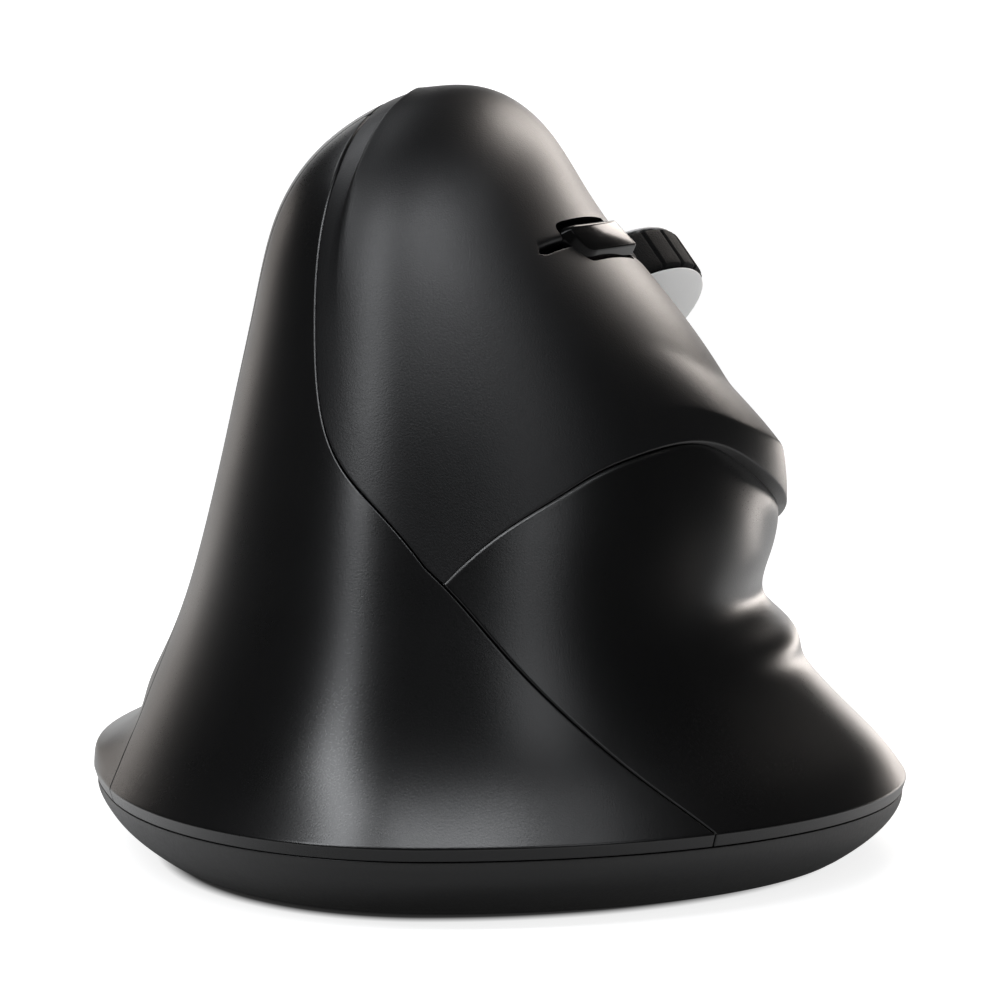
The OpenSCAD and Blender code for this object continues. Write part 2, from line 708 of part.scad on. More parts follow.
// Switch under the carrier's front bar.
module wheel_switch() {
  color(part_grey) at_wheel() translate([0, carrier_y + carrier_bar / 2])
    slab([-3, 3], [-1.6, 1.6], [pad_z + seat_gap, carrier_z[0] - press_gap]);
}

// Micro switch with its plunger.
module micro_switch(p) {
  at_wheel() translate(p) {
    slab([-2.9, 2.9], [-6.4, 6.4], [pad_z + seat_gap, switch_z - 0.6]);
    slab([-0.8, 0.8], [-1.4, 1.4], [switch_z - 0.7, switch_z]);
  }
}

// Switch under the index button.
module index_switch() {
  color(part_grey) micro_switch(index_switch_place);
}

// Switch under the middle button.
module middle_switch() {
  color(part_grey) micro_switch(middle_switch_place);
}

// Switch under the speed button, on the chassis.
module speed_switch() {
  color(part_grey) at_speed() {
    slab([-3, 3], [-3, 3], [-5 - press_gap - tact_height, -5 - press_gap - 0.5]);
    rod(1.6, [-5 - press_gap - 0.6, -5 - press_gap]);
  }
}

// Board behind the wheel and the main buttons.
module button_board() {
  color(board_green) at_wheel() difference() {
    slab([-16, 16], [-15, 15], [pad_z - board_thickness, pad_z]);
    slab([-1, 1] * (tyre_width / 2 + 0.8), [-1, 1] * (wheel_radius - 0.5), [pad_z - 5, pad_z + 1]);
    for (p = board_screw_places) translate(p) rod(screw_diameter / 2 + seat_gap, [pad_z - 5, pad_z + 1]);
  }
}

// Board on the base.
module main_board() {
  color(board_green) difference() {
    slab(board_x, board_y, [board_z, board_top]);
    translate(sensor_place) slab([-2, 2], [-3, 3], [board_z - 1, board_top + 1]);
    for (p = stand_places) translate(p) rod(screw_diameter / 2 + seat_gap, [board_z - 1, board_top + 1]);
  }
}

// Controller on the main board.
module controller_chip() {
  color([0.05, 0.05, 0.05]) translate([-8, -14]) slab([-4, 4], [-4, 4], [board_top + seat_gap, board_top + 1.2]);
}

// Motion sensor over its window.
module optical_sensor() {
  color([0.05, 0.05, 0.05]) translate(sensor_place)
    slab([-5, 5], [-6, 6], [board_top + seat_gap, board_top + 3]);
}

// Clear lens between the sensor and the table.
module sensor_lens() {
  color([0.8, 0.85, 0.9, 0.5]) translate(sensor_place) {
    rod(3.8, [foot_height + 0.5, floor_z + 0.3]);
    slab([-5, 5], [-7, 7], [floor_z + seat_gap, board_z - 0.3]);
  }
}

// Light for the sensor.
module sensor_led() {
  color([0.8, 0.15, 0.1]) translate([sensor_place[0], sensor_place[1] + 10]) {
    rod(1.5, [board_top + seat_gap, board_top + 3]);
    translate([0, 0, board_top + 3]) sphere(r = 1.5);
  }
}

// Inner frame: deck on four posts, a sloping plate for the button board and uprights.
module chassis() {
  color([0.2, 0.2, 0.22]) difference() {
    union() {
      slab([-24.5, 20], [-26, 27], [deck_z, deck_z + deck_thickness]);
      slab([18, 24.5], [-20, 4], [deck_z, deck_z + deck_thickness]);
      for (p = screw_places) translate(p) {
        rod(post_radius, [board_z + seat_gap, deck_z + deck_thickness]);
        slab(
          [-1, 1] * 2.4, p[1] > 0 ? [-12, 0] : [0, 9], [deck_z, deck_z + deck_thickness]
        );
      }
      intersection() {
        at_wheel() {
          slab([-14, 44], [-10, 9], chassis_z);
          slab([-3, 9], [-31, -9], chassis_z);
          for (p = board_screw_places) translate(p)
            rod(2.2, [chassis_z[0] + tiny, pad_z - board_thickness - seat_gap]);
          translate([-13, -11.5]) slab([-2.2, 16], [-2.2, 4], chassis_z);
          translate([13, -11.5]) slab([-8, 2.2], [-2.2, 4], chassis_z);
        }
        translate([-60, -60, deck_z + 0.5]) cube([120, 120, 80]);
      }
      at_speed() rod(2.2, [-17, -5 - press_gap - tact_height - seat_gap]);
      intersection() {
        at_thumb() slab([-4, 40], [-12, 12], [-2, 0] + thumb_plate_z * [1, 1]);
        translate([-60, -60, deck_z + 0.5]) cube([120, 120, 80]);
      }
      at_thumb() for (s = [-1, 1]) translate([0, s * 9])
        rod(2, [thumb_plate_z - 1, thumb_board_z - board_thickness - seat_gap]);
    }
    for (p = screw_places) translate(p) rod(screw_diameter / 2 + seat_gap, [0, board_z + 7]);
    at_wheel() for (p = board_screw_places) translate(p)
      rod(screw_diameter / 2 + seat_gap, [chassis_z[0] + 1, pad_z]);
    slab([4, 8.5], [12, 24], [deck_z - 1, deck_z + deck_thickness + 1]);
  }
}

// One thumb button: a pill with a stem over its switch.
module thumb_key(side) {
  at_thumb() translate([0, side * thumb_pitch / 2]) {
    pill(thumb_length, thumb_width, [-3.2, thumb_rise]);
    rod(1.2, [thumb_board_z + tact_height + press_gap, -3.1]);
  }
}

// Front thumb button.
module forward_button() {
  color([0.09, 0.09, 0.1]) thumb_key(-1);
}

// Rear thumb button.
module back_button() {
  color([0.09, 0.09, 0.1]) thumb_key(1);
}

// Board behind the thumb buttons.
module thumb_board() {
  color(board_green) at_thumb()
    slab([-6, 6], [-14, 14], [thumb_board_z - board_thickness, thumb_board_z]);
}

// The two switches on the thumb board.
module thumb_switches() {
  color(part_grey) at_thumb() for (s = [-1, 1]) translate([0, s * thumb_pitch / 2]) {
    slab([-3, 3], [-3, 3], [thumb_board_z + seat_gap, thumb_board_z + tact_height - 0.5]);
    rod(1.6, [thumb_board_z + tact_height - 0.6, thumb_board_z + tact_height]);
  }
}

// Round cell, lying front to back.
module battery_cell() {
  tip = 1.2;
  color([0.5, 0.4, 0.15]) translate([cell_x, -cell_length / 2, cell_z]) rotate([-90, 0, 0]) {
    rod(cell_diameter / 2, [0, cell_length - tip]);
    rod(2.6, [cell_length - tip - 0.1, cell_length]);
  }
}

// A plate at each end of the cell, one with a spring cone.
module battery_contacts() {
  color(steel) for (s = [-1, 1]) translate([cell_x, s * (door_y + 0.2), cell_z]) {
    slab([-5, 5], s > 0 ? [0, contact_plate] : [-contact_plate, 0], [-5, 5]);
    rotate([s > 0 ? 90 : -90, 0, 0])
      cylinder(r1 = 4, r2 = 2, h = door_y + 0.2 - cell_length / 2 - contact_gap);
  }
}

// Door under the cell, hinged at its rear edge.
module battery_door() {
  side = door_x - door_gap;
  color(base_black) translate([cell_x, 0]) {
    slab([-side, side], [hinge_y, door_y - door_gap], [foot_height, foot_height + door_thickness]);
    translate([-side, hinge_y, hinge_z]) rotate([0, 90, 0]) cylinder(r = barrel_radius, h = 2 * side);
    translate([-door_x - 1, hinge_y, hinge_z]) rotate([0, 90, 0]) cylinder(r = pin_radius, h = 2 * door_x + 2);
  }
}

// Power switch under the main board.
module power_switch() {
  color(part_grey) translate(slider_place)
    slab([-2.5, 2.5], [-5.5, 5.5], [floor_z + 1.4, board_z - seat_gap]);
}

// Sliding knob in the floor, under the power switch.
module power_slider() {
  color([0.7, 0.7, 0.7]) translate([slider_place[0], slider_place[1] - slider_travel / 2]) {
    slab([-1.7, 1.7], [-2.5, 2.5], [foot_height + 0.3, floor_z + 0.6]);
    slab([-3, 3], [-3.6, 3.6], [floor_z + 0.3, floor_z + 1.1]);
  }
}

// Receiver parked in the floor: cap and plug.
module usb_receiver() {
  plug = receiver_length - receiver_cap;
  color([0.12, 0.12, 0.13]) translate([dock_place[0], dock_place[1], foot_height + 0.2]) {
    slab([-1, 1] * receiver_width / 2, [-1, 1] * receiver_thickness / 2, [0, receiver_cap]);
    slab([-6, 6], [-2.25, 2.25], [receiver_cap - tiny, receiver_cap + plug - 0.4]);
  }
}

// Round glide feet.
module glide_feet() {
  color([0.15, 0.15, 0.15]) for (p = foot_places) translate(p)
    rod(foot_diameter / 2, [0, foot_height + foot_recess - seat_gap]);
}

// Screws from the floor into the chassis posts.
module case_screws() {
  color(steel) for (p = screw_places) translate(p) {
    rod(screw_diameter / 2, [foot_height + 2.1, board_z + 6]);
    rod(screw_head / 2, [foot_height + 0.6, foot_height + 2.15]);
  }
}

// Screws that hold the two boards.
module board_screws() {
  color(steel) {
    at_wheel() for (p = board_screw_places) translate(p) {
      rod(screw_diameter / 2, [chassis_z[0] + 1.4, pad_z + 0.1]);
      rod(screw_head / 2, [pad_z + seat_gap, pad_z + 1.4]);
    }
    for (p = stand_places) translate(p) {
      rod(screw_diameter / 2, [board_z + 0.1, board_top + 0.1]);
      rod(screw_head / 2, [board_top + seat_gap, board_top + 1.4]);
    }
  }
}

// Ribbon between the button board and the main board.
module flex_cable() {
  color([0.7, 0.45, 0.15]) slab([6.2, 6.5], [14, 22], [board_top + seat_gap, wheel_centre[2] - flex_drop]);
}

base_tray();
palm_shell();
thumb_shell();
finger_shell();
button_cover();
index_button();
middle_button();
speed_button();
wheel_tyre();
wheel_rim();
wheel_axle();
wheel_carrier();
wheel_encoder();
wheel_switch();
index_switch();
middle_switch();
speed_switch();
button_board();
main_board();
controller_chip();
optical_sensor();
sensor_lens();
sensor_led();
chassis();
forward_button();
back_button();
thumb_board();
thumb_switches();
battery_cell();
battery_contacts();
battery_door();
power_switch();
power_slider();
usb_receiver();
glide_feet();
case_screws();
board_screws();
flex_cable();
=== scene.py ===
import json
import math

import bpy
import numpy as np
from mathutils import Matrix, Vector
from mathutils.kdtree import KDTree


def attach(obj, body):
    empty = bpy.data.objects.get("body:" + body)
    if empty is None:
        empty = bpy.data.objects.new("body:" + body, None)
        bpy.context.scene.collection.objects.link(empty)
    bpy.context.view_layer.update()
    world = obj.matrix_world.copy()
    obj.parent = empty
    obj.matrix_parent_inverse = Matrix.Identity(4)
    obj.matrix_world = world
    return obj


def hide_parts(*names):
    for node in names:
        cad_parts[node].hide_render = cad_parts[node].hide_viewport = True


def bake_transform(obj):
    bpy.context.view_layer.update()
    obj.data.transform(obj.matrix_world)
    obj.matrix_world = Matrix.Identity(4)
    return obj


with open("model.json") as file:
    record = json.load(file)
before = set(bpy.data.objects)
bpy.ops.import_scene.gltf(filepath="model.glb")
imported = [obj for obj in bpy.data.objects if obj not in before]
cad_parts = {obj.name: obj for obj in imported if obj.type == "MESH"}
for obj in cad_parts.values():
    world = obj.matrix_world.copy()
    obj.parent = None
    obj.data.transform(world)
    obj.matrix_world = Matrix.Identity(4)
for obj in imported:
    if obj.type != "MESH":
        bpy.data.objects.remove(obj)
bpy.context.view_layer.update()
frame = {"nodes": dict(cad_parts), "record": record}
record_slots = {s["node"]: s["material_slot"] for s in frame["record"]["subparts"]}


# THE BODY'S SURFACE, in millimetres, with the same sections, seams and forms as the solids. A place on
# the body is an angle round it (0 rear, 90 finger side, 180 front, -90 thumb side) and a level (0 at the
# foot's rim, TOP at the crown, -1 at the foot of the upright strip under the rim).

# One row per level: height, x at the thumb side and finger side, y at the rear and front, the middle's
# x, and the middle's y on the thumb side and finger side.
SECTIONS = np.array([
    [7.5, -40.25, 40.5, -58, 58, -7, 4, -3.5],
    [11, -38, 37.9, -55, 57, -7, 4, -3.5],
    [16, -35.5, 32.8, -51.5, 55, -7, 3, -3.5],
    [24, -32.2, 27.2, -47.5, 52, -7, 2, -3.5],
    [34, -29.4, 26.8, -43, 49, -7, 0, -3.5],
    [44, -26.8, 24, -38.5, 44, -7, -1, -3.5],
    [54, -24.4, 17.5, -33, 36, -7, -2, -3.5],
    [63, -22.3, 10.1, -27, 26, -7, -2, -3.5],
    [70, -17.6, 6, -20, 15, -6, -3, -3],
    [74.5, -10.4, 1.5, -11, 5, -5, -3, -3],
    [76, -4, -4, -3, -3, -4, -3, -3],
])
TOP = len(SECTIONS) - 1
# Seams through places: round the palm shell and over the crown, along the lip, and between the buttons.
LONG_SEAM = [
    (35, 0), (30, 1.02), (23.5, 2.05), (14, 2.9), (3, 3.67), (-17, 4.46), (-31, 5.12), (-39, 6.2),
    (-43, 7.3), (-59, 8.28), (-90, 8.85), (-135, 8.6), (-160, 7.6), (-174, 6.6), (-182, 5.6),
]
LIP_SEAM = [
    (3, 3.67), (19, 4.32), (28, 4.58), (38.5, 4.74), (49, 4.82), (63, 4.75), (81, 4.2), (106, 3.65),
    (131, 3.28), (155, 3), (178, 2.95),
]
SLIT = [
    (-6, 4.4), (-2, 5), (2, 5.6), (16, 6.3), (34.5, 6.7), (56, 6.8), (84, 6.56), (112, 6.12),
    (138, 5.6), (160, 5), (178, 4.6),
]
# Counted along the seams' points: where the lip leaves the long seam, where the button tongues bend, where
# the lip ends, and where the seam between palm and thumb shell meets the long seam.
CORNER = 4
HINGE = 4
SEAM_END = 10
CROWN_JOIN = 9.6
# Angle of the front seam, and angle and bow of the seam between palm and thumb shell
FRONT = 178
THUMB_ANGLE = -70
THUMB_BOW = 10
# Wall, and gaps at the seams
WALL = 2.0
SEAM_GAP = 0.16
BUTTON_GAP = 0.32
LIP_GAP = 0.16
SLIT_WIDTH = 0.75
# Upright strip under the rim: height, and how far it leans in
STRIP = 1.2
STRIP_IN = 0.4
# Lip of the button cover: how far out, how far above the ridge it starts, and how much the band draws in
LIP_OUT = 2.7
LIP_FLARE = 7
LIP_TUCK = 0.28
# Bevel along the long seam: width, the step up past it, that step at the crown, and the dip behind it
BEVEL_WIDTH = 3.0
CREASE_RISE = 0.45
CROWN_RISE = 0.28
SCOOP = 0.35
SCOOP_REACH = 4
# Ridges (+) and grooves (-) round the body: how far out, at which height, and how wide
FINGER_FORMS = ((1.1, 21.8, 2), (-1.0, 26, 2.6))
THUMB_FORMS = ((2.5, 9.1, 1.9), (-1.8, 13.2, 1.9), (-1.6, 30, 11))
# Levels between which the rim is rounded over
RIM_LOW, RIM_HIGH = -0.14, 0.06
# Radii of the shells' edges: at the seams, along the foot and along the lip
EDGE_R = 0.18
FOOT_R = 0.06
LIP_R = 0.2


def knots(q):
    """Control points of the smooth curve through these points."""
    q = np.asarray(q, float)
    n = len(q)

    def past(i):
        if i < 0:
            return 2 * q[0] - q[-i]
        if i >= n:
            return 2 * q[n - 1] - q[2 * n - 2 - i]
        return q[i]

    return np.array([(8 * past(i) - past(i - 1) - past(i + 1)) / 6 for i in range(-1, n + 1)])


def curve(k, t):
    """Points of a curve, counted along the points it goes through."""
    t = np.asarray(t, float)
    i = np.clip(np.floor(t), 0, len(k) - 4).astype(int)
    f = (t - i)[..., None]
    return ((1 - f) ** 3 * k[i] + (3 * f ** 3 - 6 * f ** 2 + 4) * k[i + 1]
            + (3 * f ** 2 - 3 * f ** 3 + 3 * f + 1) * k[i + 2] + f ** 3 * k[i + 3]) / 6


def ramp(a, b, x):
    """Rises smoothly from 0 at a to 1 at b."""
    f = np.clip((np.asarray(x, float) - a) / (b - a), 0, 1)
    return f * f * (3 - 2 * f)


def bell(x, w):
    return np.exp(-(x / w) ** 2)


def mix(a, b, f):
    return a + (b - a) * f


def unit(v):
    return v / np.maximum(np.linalg.norm(v, axis=-1, keepdims=True), 1e-12)


TURNED = SECTIONS[-2::-1][:, [0, 2, 1, 4, 3, 5, 6, 7]]
SECTION_KNOTS = knots(np.concatenate([SECTIONS, TURNED]))


def flat(angle, level):
    """A place on the flat map, on which the seams are drawn."""
    r = TOP - np.asarray(level, float)
    a = np.radians(angle)
    return np.stack([r * np.sin(a), -r * np.cos(a)], -1)


def place(c):
    """The angle and level of a point on the flat map."""
    return np.degrees(np.arctan2(c[..., 0], -c[..., 1])), TOP - np.hypot(c[..., 0], c[..., 1])


def seam_knots(seam):
    return knots([flat(a, t) for a, t in seam])


LONG_K, LIP_K, SLIT_K = seam_knots(LONG_SEAM), seam_knots(LIP_SEAM), seam_knots(SLIT)


def forms(z, rows):
    return sum(out * bell(z - height, width) for out, height, width in rows)


def skin(angle, level, lip=0.0):
    """Points of the outer surface, this much further out."""
    angle, level = np.broadcast_arrays(np.asarray(angle, float), np.asarray(level, float))
    up = np.maximum(level, 0)
    s, o = curve(SECTION_KNOTS, up), curve(SECTION_KNOTS, 2 * TOP - up)
    z = s[..., 0]
    ca, sa = np.cos(np.radians(angle)), np.sin(np.radians(angle))
    mid_y = np.where(sa >= 0, s[..., 7], s[..., 6])
    half_x = np.where(sa >= 0, o[..., 1] - s[..., 5], s[..., 5] - s[..., 1])
    half_y = np.where(ca >= 0, mid_y - s[..., 3], o[..., 3] - mid_y)
    ax, ay = sa / np.maximum(half_x, 0.1), -ca / np.maximum(half_y, 0.1)
    n = np.maximum(np.hypot(ax, ay), 1e-9)
    a = (angle + 180) % 360 - 180
    back = np.where(a > 0, a - 360, a)
    out = ramp(45, 80, a) * (1 - ramp(115, 150, a)) * forms(z, FINGER_FORMS)
    out = out + bell(back + 112, 30) * ramp(-72, -88, back) * forms(z, THUMB_FORMS)
    out = out + lip + np.minimum(level, 0) * STRIP_IN
    return np.stack([
        s[..., 5] + half_x * sa + out * ax / n,
        mid_y - half_y * ca + out * ay / n,
        z + np.minimum(level, 0) * STRIP,
    ], -1)


def facing(angle, level):
    """Outward normals of the skin."""
    e = 0.03
    t = np.clip(level, e, TOP - 2 * e)
    east = skin(angle + 1, t) - skin(angle - 1, t)
    up = skin(angle, t + e) - skin(angle, t - e)
    n = unit(np.cross(east, up))
    level_n = unit(n * np.array([1, 1, 0]))
    return np.where((level < 0)[..., None], level_n, n)


def rimmed(angle, level, out=0.0, low=RIM_LOW, high=RIM_HIGH):
    """The skin with its rim rounded over, and this much further out."""
    p = skin(angle, level, out)
    t = np.clip((level - low) / (high - low), 0, 1)[..., None]
    arc = ((1 - t) ** 2 * skin(angle, low + 0 * level) + 2 * t * (1 - t) * skin(angle, 0 * level)
           + t ** 2 * skin(angle, high + 0 * level))
    inside = ((level > low) & (level < high))[..., None]
    return np.where(inside, arc, p)


def beside(u, gap):
    """Points of the flat map along the long seam, this many millimetres to its side."""
    u = np.asarray(u, float)
    e = 0.05
    c = curve(LONG_K, u)
    t = unit(curve(LONG_K, u + e) - curve(LONG_K, u - e))
    side = np.stack([t[..., 1], -t[..., 0]], -1)
    reach = np.linalg.norm(skin(*place(c + e * side)) - skin(*place(c - e * side)), axis=-1) / (2 * e)
    return c + side * (gap / reach)[..., None]


# GRIDS OF PLACES for each shell, finer towards the edges. EDGE: distances from an edge, in millimetres
EDGE = np.array([0, 0.05, 0.12, 0.22, 0.36, 0.6])


def spread(length, n):
    """Steps from 0 to 1, crowded at both ends, for rows of these lengths."""
    e = EDGE[None] / np.maximum(np.atleast_1d(length), 4)[:, None]
    middle = e[:, -1:] + (1 - 2 * e[:, -1:]) * np.linspace(0, 1, n + 2)[None, 1:-1]
    return np.concatenate([e, middle, 1 - e[:, ::-1]], 1)


def length_of(angle, level):
    """Lengths of the lines through rows of places."""
    p = skin(angle, level)
    return np.linalg.norm(np.diff(p, axis=-2), axis=-1).sum(-1)


def row_lengths(a, b):
    w = np.linspace(0, 1, 21)[None]
    return length_of(mix(a[0][:, None], b[0][:, None], w), mix(a[1][:, None], b[1][:, None], w))


FOOT_LEVELS = np.array([-1, -0.97, -0.9, -0.8, -0.6, -0.4, -0.25, -0.14, -0.11, -0.08, -0.05, -0.025])


def footed(angle, level):
    """The upright strip's rows, under rows whose first one is at level 0."""
    foot = np.repeat(angle[:1], len(FOOT_LEVELS), 0)
    low = np.repeat(FOOT_LEVELS[:, None], foot.shape[1], 1)
    return np.concatenate([foot, angle]), np.concatenate([low, level])


def rows_up(n, last):
    """Row steps, close together at the rim."""
    close = np.array([0, 0.0025, 0.005, 0.0075, 0.011, 0.015, 0.021, 0.03])
    return np.concatenate([close, np.linspace(0.04, last, n)])


JOIN = tuple(float(x) for x in place(curve(LONG_K, CROWN_JOIN)))


def thumb_seam(v):
    """The seam between palm and thumb shell, from the foot (0) to the crown (1)."""
    return mix(THUMB_ANGLE, JOIN[0], v) - THUMB_BOW * np.sin(np.pi * v), v * JOIN[1]


def palm_places():
    v = rows_up(110, 0.992)
    a, b = thumb_seam(v), place(beside(v * CROWN_JOIN, -SEAM_GAP / 2))
    long = row_lengths(a, b)
    first = (SEAM_GAP / 2 / long)[:, None]
    w = first + (1 - first) * spread(long, 96)
    angle, level = mix(a[0][:, None], b[0][:, None], w), mix(a[1][:, None], b[1][:, None], w)
    level[0] = 0
    return footed(angle, level)


def finger_places():
    def at(w, v):
        low = mix(LONG_SEAM[0][0], FRONT, w)
        high = place(curve(LIP_K, w * SEAM_END))
        c = place(beside(v * CORNER, SEAM_GAP / 2))
        lip0 = place(curve(LIP_K, np.zeros(1)))
        bow_a = c[0] - mix(LONG_SEAM[0][0], lip0[0], v)
        bow_t = c[1] - mix(0, lip0[1], v)
        k = (1 - w) ** 3
        return mix(low, high[0], v) + bow_a * k, v * high[1] + bow_t * k

    v = rows_up(78, 1)
    v = np.concatenate([v[:-1], [0.985, 0.991, 0.9955, 1]])
    w = spread(np.array([120.0]), 150)[0]
    w = w * (1 - 0.0015)
    one = np.linspace(0, 1, 41)[:, None]
    column = length_of(*(x.T for x in at(w[None] + 0 * one, one + 0 * w[None])))
    reach = 1 - mix(SEAM_GAP, LIP_GAP, ramp(0, 0.3, w)) / column
    angle, level = at(w[None] + 0 * v[:, None], v[:, None] * reach[None])
    level[0] = 0
    return footed(angle, level)


def thumb_places():
    n_long = len(LONG_SEAM) - 1

    def at(w, v):
        top = place(beside(mix(n_long, CROWN_JOIN, w), -SEAM_GAP / 2))
        high = np.where(top[0] < 0, top[0] + 360, top[0])
        low = mix(FRONT, THUMB_ANGLE + 360, w)
        return mix(low, high, v) - THUMB_BOW * np.sin(np.pi * v) * w, v * top[1]

    v = rows_up(110, 1)
    v = np.concatenate([v[:-1], [0.993, 0.9965, 0.9985, 1]])
    ends = np.linspace(0, 1, 21)[None]
    long = length_of(*at(ends + 0 * v[:, None], v[:, None] + 0 * ends))
    first = (mix(SEAM_GAP / 2, BUTTON_GAP, ramp(0.2, 0.5, v)) / long)[:, None]
    last = (SEAM_GAP / 2 / long)[:, None]
    w = first + (1 - first - last) * spread(long, 110)
    angle, level = at(w, v[:, None] + 0 * w)
    level[0] = 0
    return footed(angle, level)


def cover_halves():
    """Rows along the cover: places and lifts from the long seam to the slit, and from there to the lip."""
    u = np.concatenate([np.linspace(0.012, HINGE, 90), np.linspace(HINGE, SEAM_END - 0.07, 150)[1:]])
    gap = mix(SEAM_GAP / 2, BUTTON_GAP - SEAM_GAP / 2, ramp(HINGE, HINGE + 0.4, u))
    gap = np.where(u <= HINGE, SEAM_GAP / 2, gap)
    gap = gap + 0.5 * ramp(8, 9.5, u)
    a = beside(CORNER + u, gap)
    s, b = curve(SLIT_K, u), curve(LIP_K, u)
    # The slit's own line only counts from the hinge on: before it, the rows are drawn straight to the lip.
    share = ramp(0, HINGE, u)[:, None]
    s = mix(mix(a, b, 0.5), s, share)

    def long(p, q):
        w = np.linspace(0, 1, 21)[None, :, None]
        return length_of(*place(mix(p[:, None], q[:, None], w)))

    first, second = long(a, s), long(s, b)
    opening = SLIT_WIDTH / 2 * np.sqrt(np.clip((u - HINGE) / 0.12, 0, 1))
    soft = mix(1.2, 0, ramp(2.6, 4.4, u))[:, None]
    near = np.concatenate([EDGE, [0.9, 1.3, 1.7, 2.1]])[None] + 0 * soft
    crease = np.array([
        -0.42, -0.32, -0.22, -0.13, -0.05, 0.03, 0.11, 0.19, 0.27, 0.36, 0.5, 0.7, 1, 1.4])
    d1 = np.concatenate([near, BEVEL_WIDTH + crease[None] + 0 * soft], 1)
    d1 = d1 * np.minimum(first / 9, 1)[:, None]
    end = d1[:, -1:] / np.maximum(first, 1e-6)[:, None]
    tail = 1 - EDGE[None, ::-1] / np.maximum(first, 4)[:, None]
    w1 = np.concatenate([d1 / np.maximum(first, 1e-6)[:, None],
                         end + (tail[:, :1] - end) * np.linspace(0, 1, 60)[None, 1:-1], tail], 1)
    d1 = w1 * first[:, None]
    w1 = w1 * (1 - opening / np.maximum(first, 2))[:, None]
    # Past the bevel the cover steps up at a crease, and dips gently behind it.
    rise = ramp(BEVEL_WIDTH - 0.38 - soft, BEVEL_WIDTH + 0.32 + soft, d1)
    past = np.maximum(d1 - BEVEL_WIDTH - 0.1, 0)
    high = mix(CREASE_RISE, CROWN_RISE, ramp(4.8, 6, u))[:, None]
    dip = SCOOP * past / SCOOP_REACH * np.exp(1 - past / SCOOP_REACH)
    lift1 = high * rise * (1 - ramp(5, 18, d1)) - dip
    lift1 = lift1 * ramp(2.4, 4.2, u)[:, None]
    trim = (SEAM_GAP / 2 / np.maximum(second, 1.5))[:, None]
    start = (opening / np.maximum(second, 2))[:, None]
    band_width = mix(4.0, 6.8, ramp(5.0, 6.8, u))[:, None]
    below = np.concatenate([EDGE, [1, 1.5, 2.1, 2.7, 3.2]])[None] * band_width / 4
    ridge = np.array([
        -0.5, -0.3, -0.18, -0.1, -0.04, 0.02, 0.1, 0.2, 0.35, 0.6, 1, 1.5, 2, 2.5, 3, 3.5,
        4.5, 5, 5.5, 6, 6.4, 6.8, 7.2, 7.6, 8, 8.6])
    above = band_width + ridge[None]
    d2 = np.concatenate([below, above], 1)[:, ::-1]
    w2 = 1 - d2 * (np.minimum(second / 18, 1) / np.maximum(second, 1e-6))[:, None]
    head = EDGE[None] / np.maximum(second, 4)[:, None]
    middle = head[:, -1:] + (w2[:, :1] - head[:, -1:]) * np.linspace(0, 1, 52)[None, 1:-1]
    w2 = np.concatenate([head, middle, w2], 1)
    d2 = (1 - w2) * second[:, None]
    w2 = start + (1 - start - trim) * w2
    p1 = mix(a[:, None], s[:, None], w1[..., None])
    p2 = mix(s[:, None], b[:, None], w2[..., None])
    # The lip: a flare above a crisp ridge, and the band under it.
    band = 1 - LIP_TUCK * (1 - d2 / band_width)
    flare = (band_width + LIP_FLARE - d2) / LIP_FLARE
    flare = (flare + np.sqrt(flare ** 2 + 0.015)) / 2
    form = (band + flare - np.sqrt((band - flare) ** 2 + 0.003)) / 2
    turned = place(p2)[0]
    lip2 = LIP_OUT * ramp(42, 84, turned) * (1 - ramp(125, 168, turned)) * form
    return u, p1, lift1, p2, lip2


# MESHES FROM GRIDS
def normals_of(p, base):
    """Outward normals of a grid of points; where it is too fine to tell, the skin's own."""
    du, dv = np.gradient(p, axis=1), np.gradient(p, axis=0)
    n = unit(np.cross(du, dv))
    thin = (np.linalg.norm(du, axis=-1) < 0.004) | (np.linalg.norm(dv, axis=-1) < 0.004)
    odd = thin | ((n * base).sum(-1) < -0.2)
    return np.where(odd[..., None], base, n)


def arc_from(p, axis):
    """Distances along a grid from its first edge and from its last one."""
    step = np.linalg.norm(np.diff(p, axis=axis), axis=-1)
    pad = [(1, 0), (0, 0)] if axis == 0 else [(0, 0), (1, 0)]
    d = np.cumsum(np.pad(step, pad), axis)
    total = d.take([-1], axis)
    return d, total - d


def rounded(p, n, left=0.0, right=0.0, bottom=0.0, top=0.0):
    """Rounds the grid's edges over by these radii."""
    d0, d1 = arc_from(p, 1)
    d2, d3 = arc_from(p, 0)
    drop = np.zeros(p.shape[:2])
    for d, r in ((d0, left), (d1, right), (d2, bottom), (d3, top)):
        if np.max(r) > 0:
            r = np.broadcast_to(r, d.shape) + 1e-9
            inside = np.clip(r - d, 0, None)
            drop = np.maximum(drop, r - np.sqrt(np.maximum(r * r - inside ** 2, 0)))
    return p - n * drop[..., None]


def grid_faces(rows, cols, base=0, flip=False):
    i, j = np.meshgrid(np.arange(rows - 1), np.arange(cols - 1), indexing="ij")
    k = (i * cols + j).ravel() + base
    quads = np.stack([k, k + 1, k + cols + 1, k + cols], -1)
    return quads[:, ::-1] if flip else quads


def edge_loop(rows, cols):
    """The grid's outer points, in order round it."""
    r = np.arange
    return np.concatenate([
        r(cols), r(1, rows) * cols + cols - 1,
        (rows - 1) * cols + r(cols - 2, -1, -1), r(rows - 2, 0, -1) * cols,
    ])


def make_mesh(name, verts, faces, smooth=True):
    """A mesh in metres, from points in millimetres."""
    mesh = bpy.data.meshes.new(name)
    mesh.from_pydata((np.asarray(verts) * 0.001).tolist(), [], [list(map(int, f)) for f in faces])
    if smooth:
        mesh.shade_smooth()
    mesh.update()
    return mesh


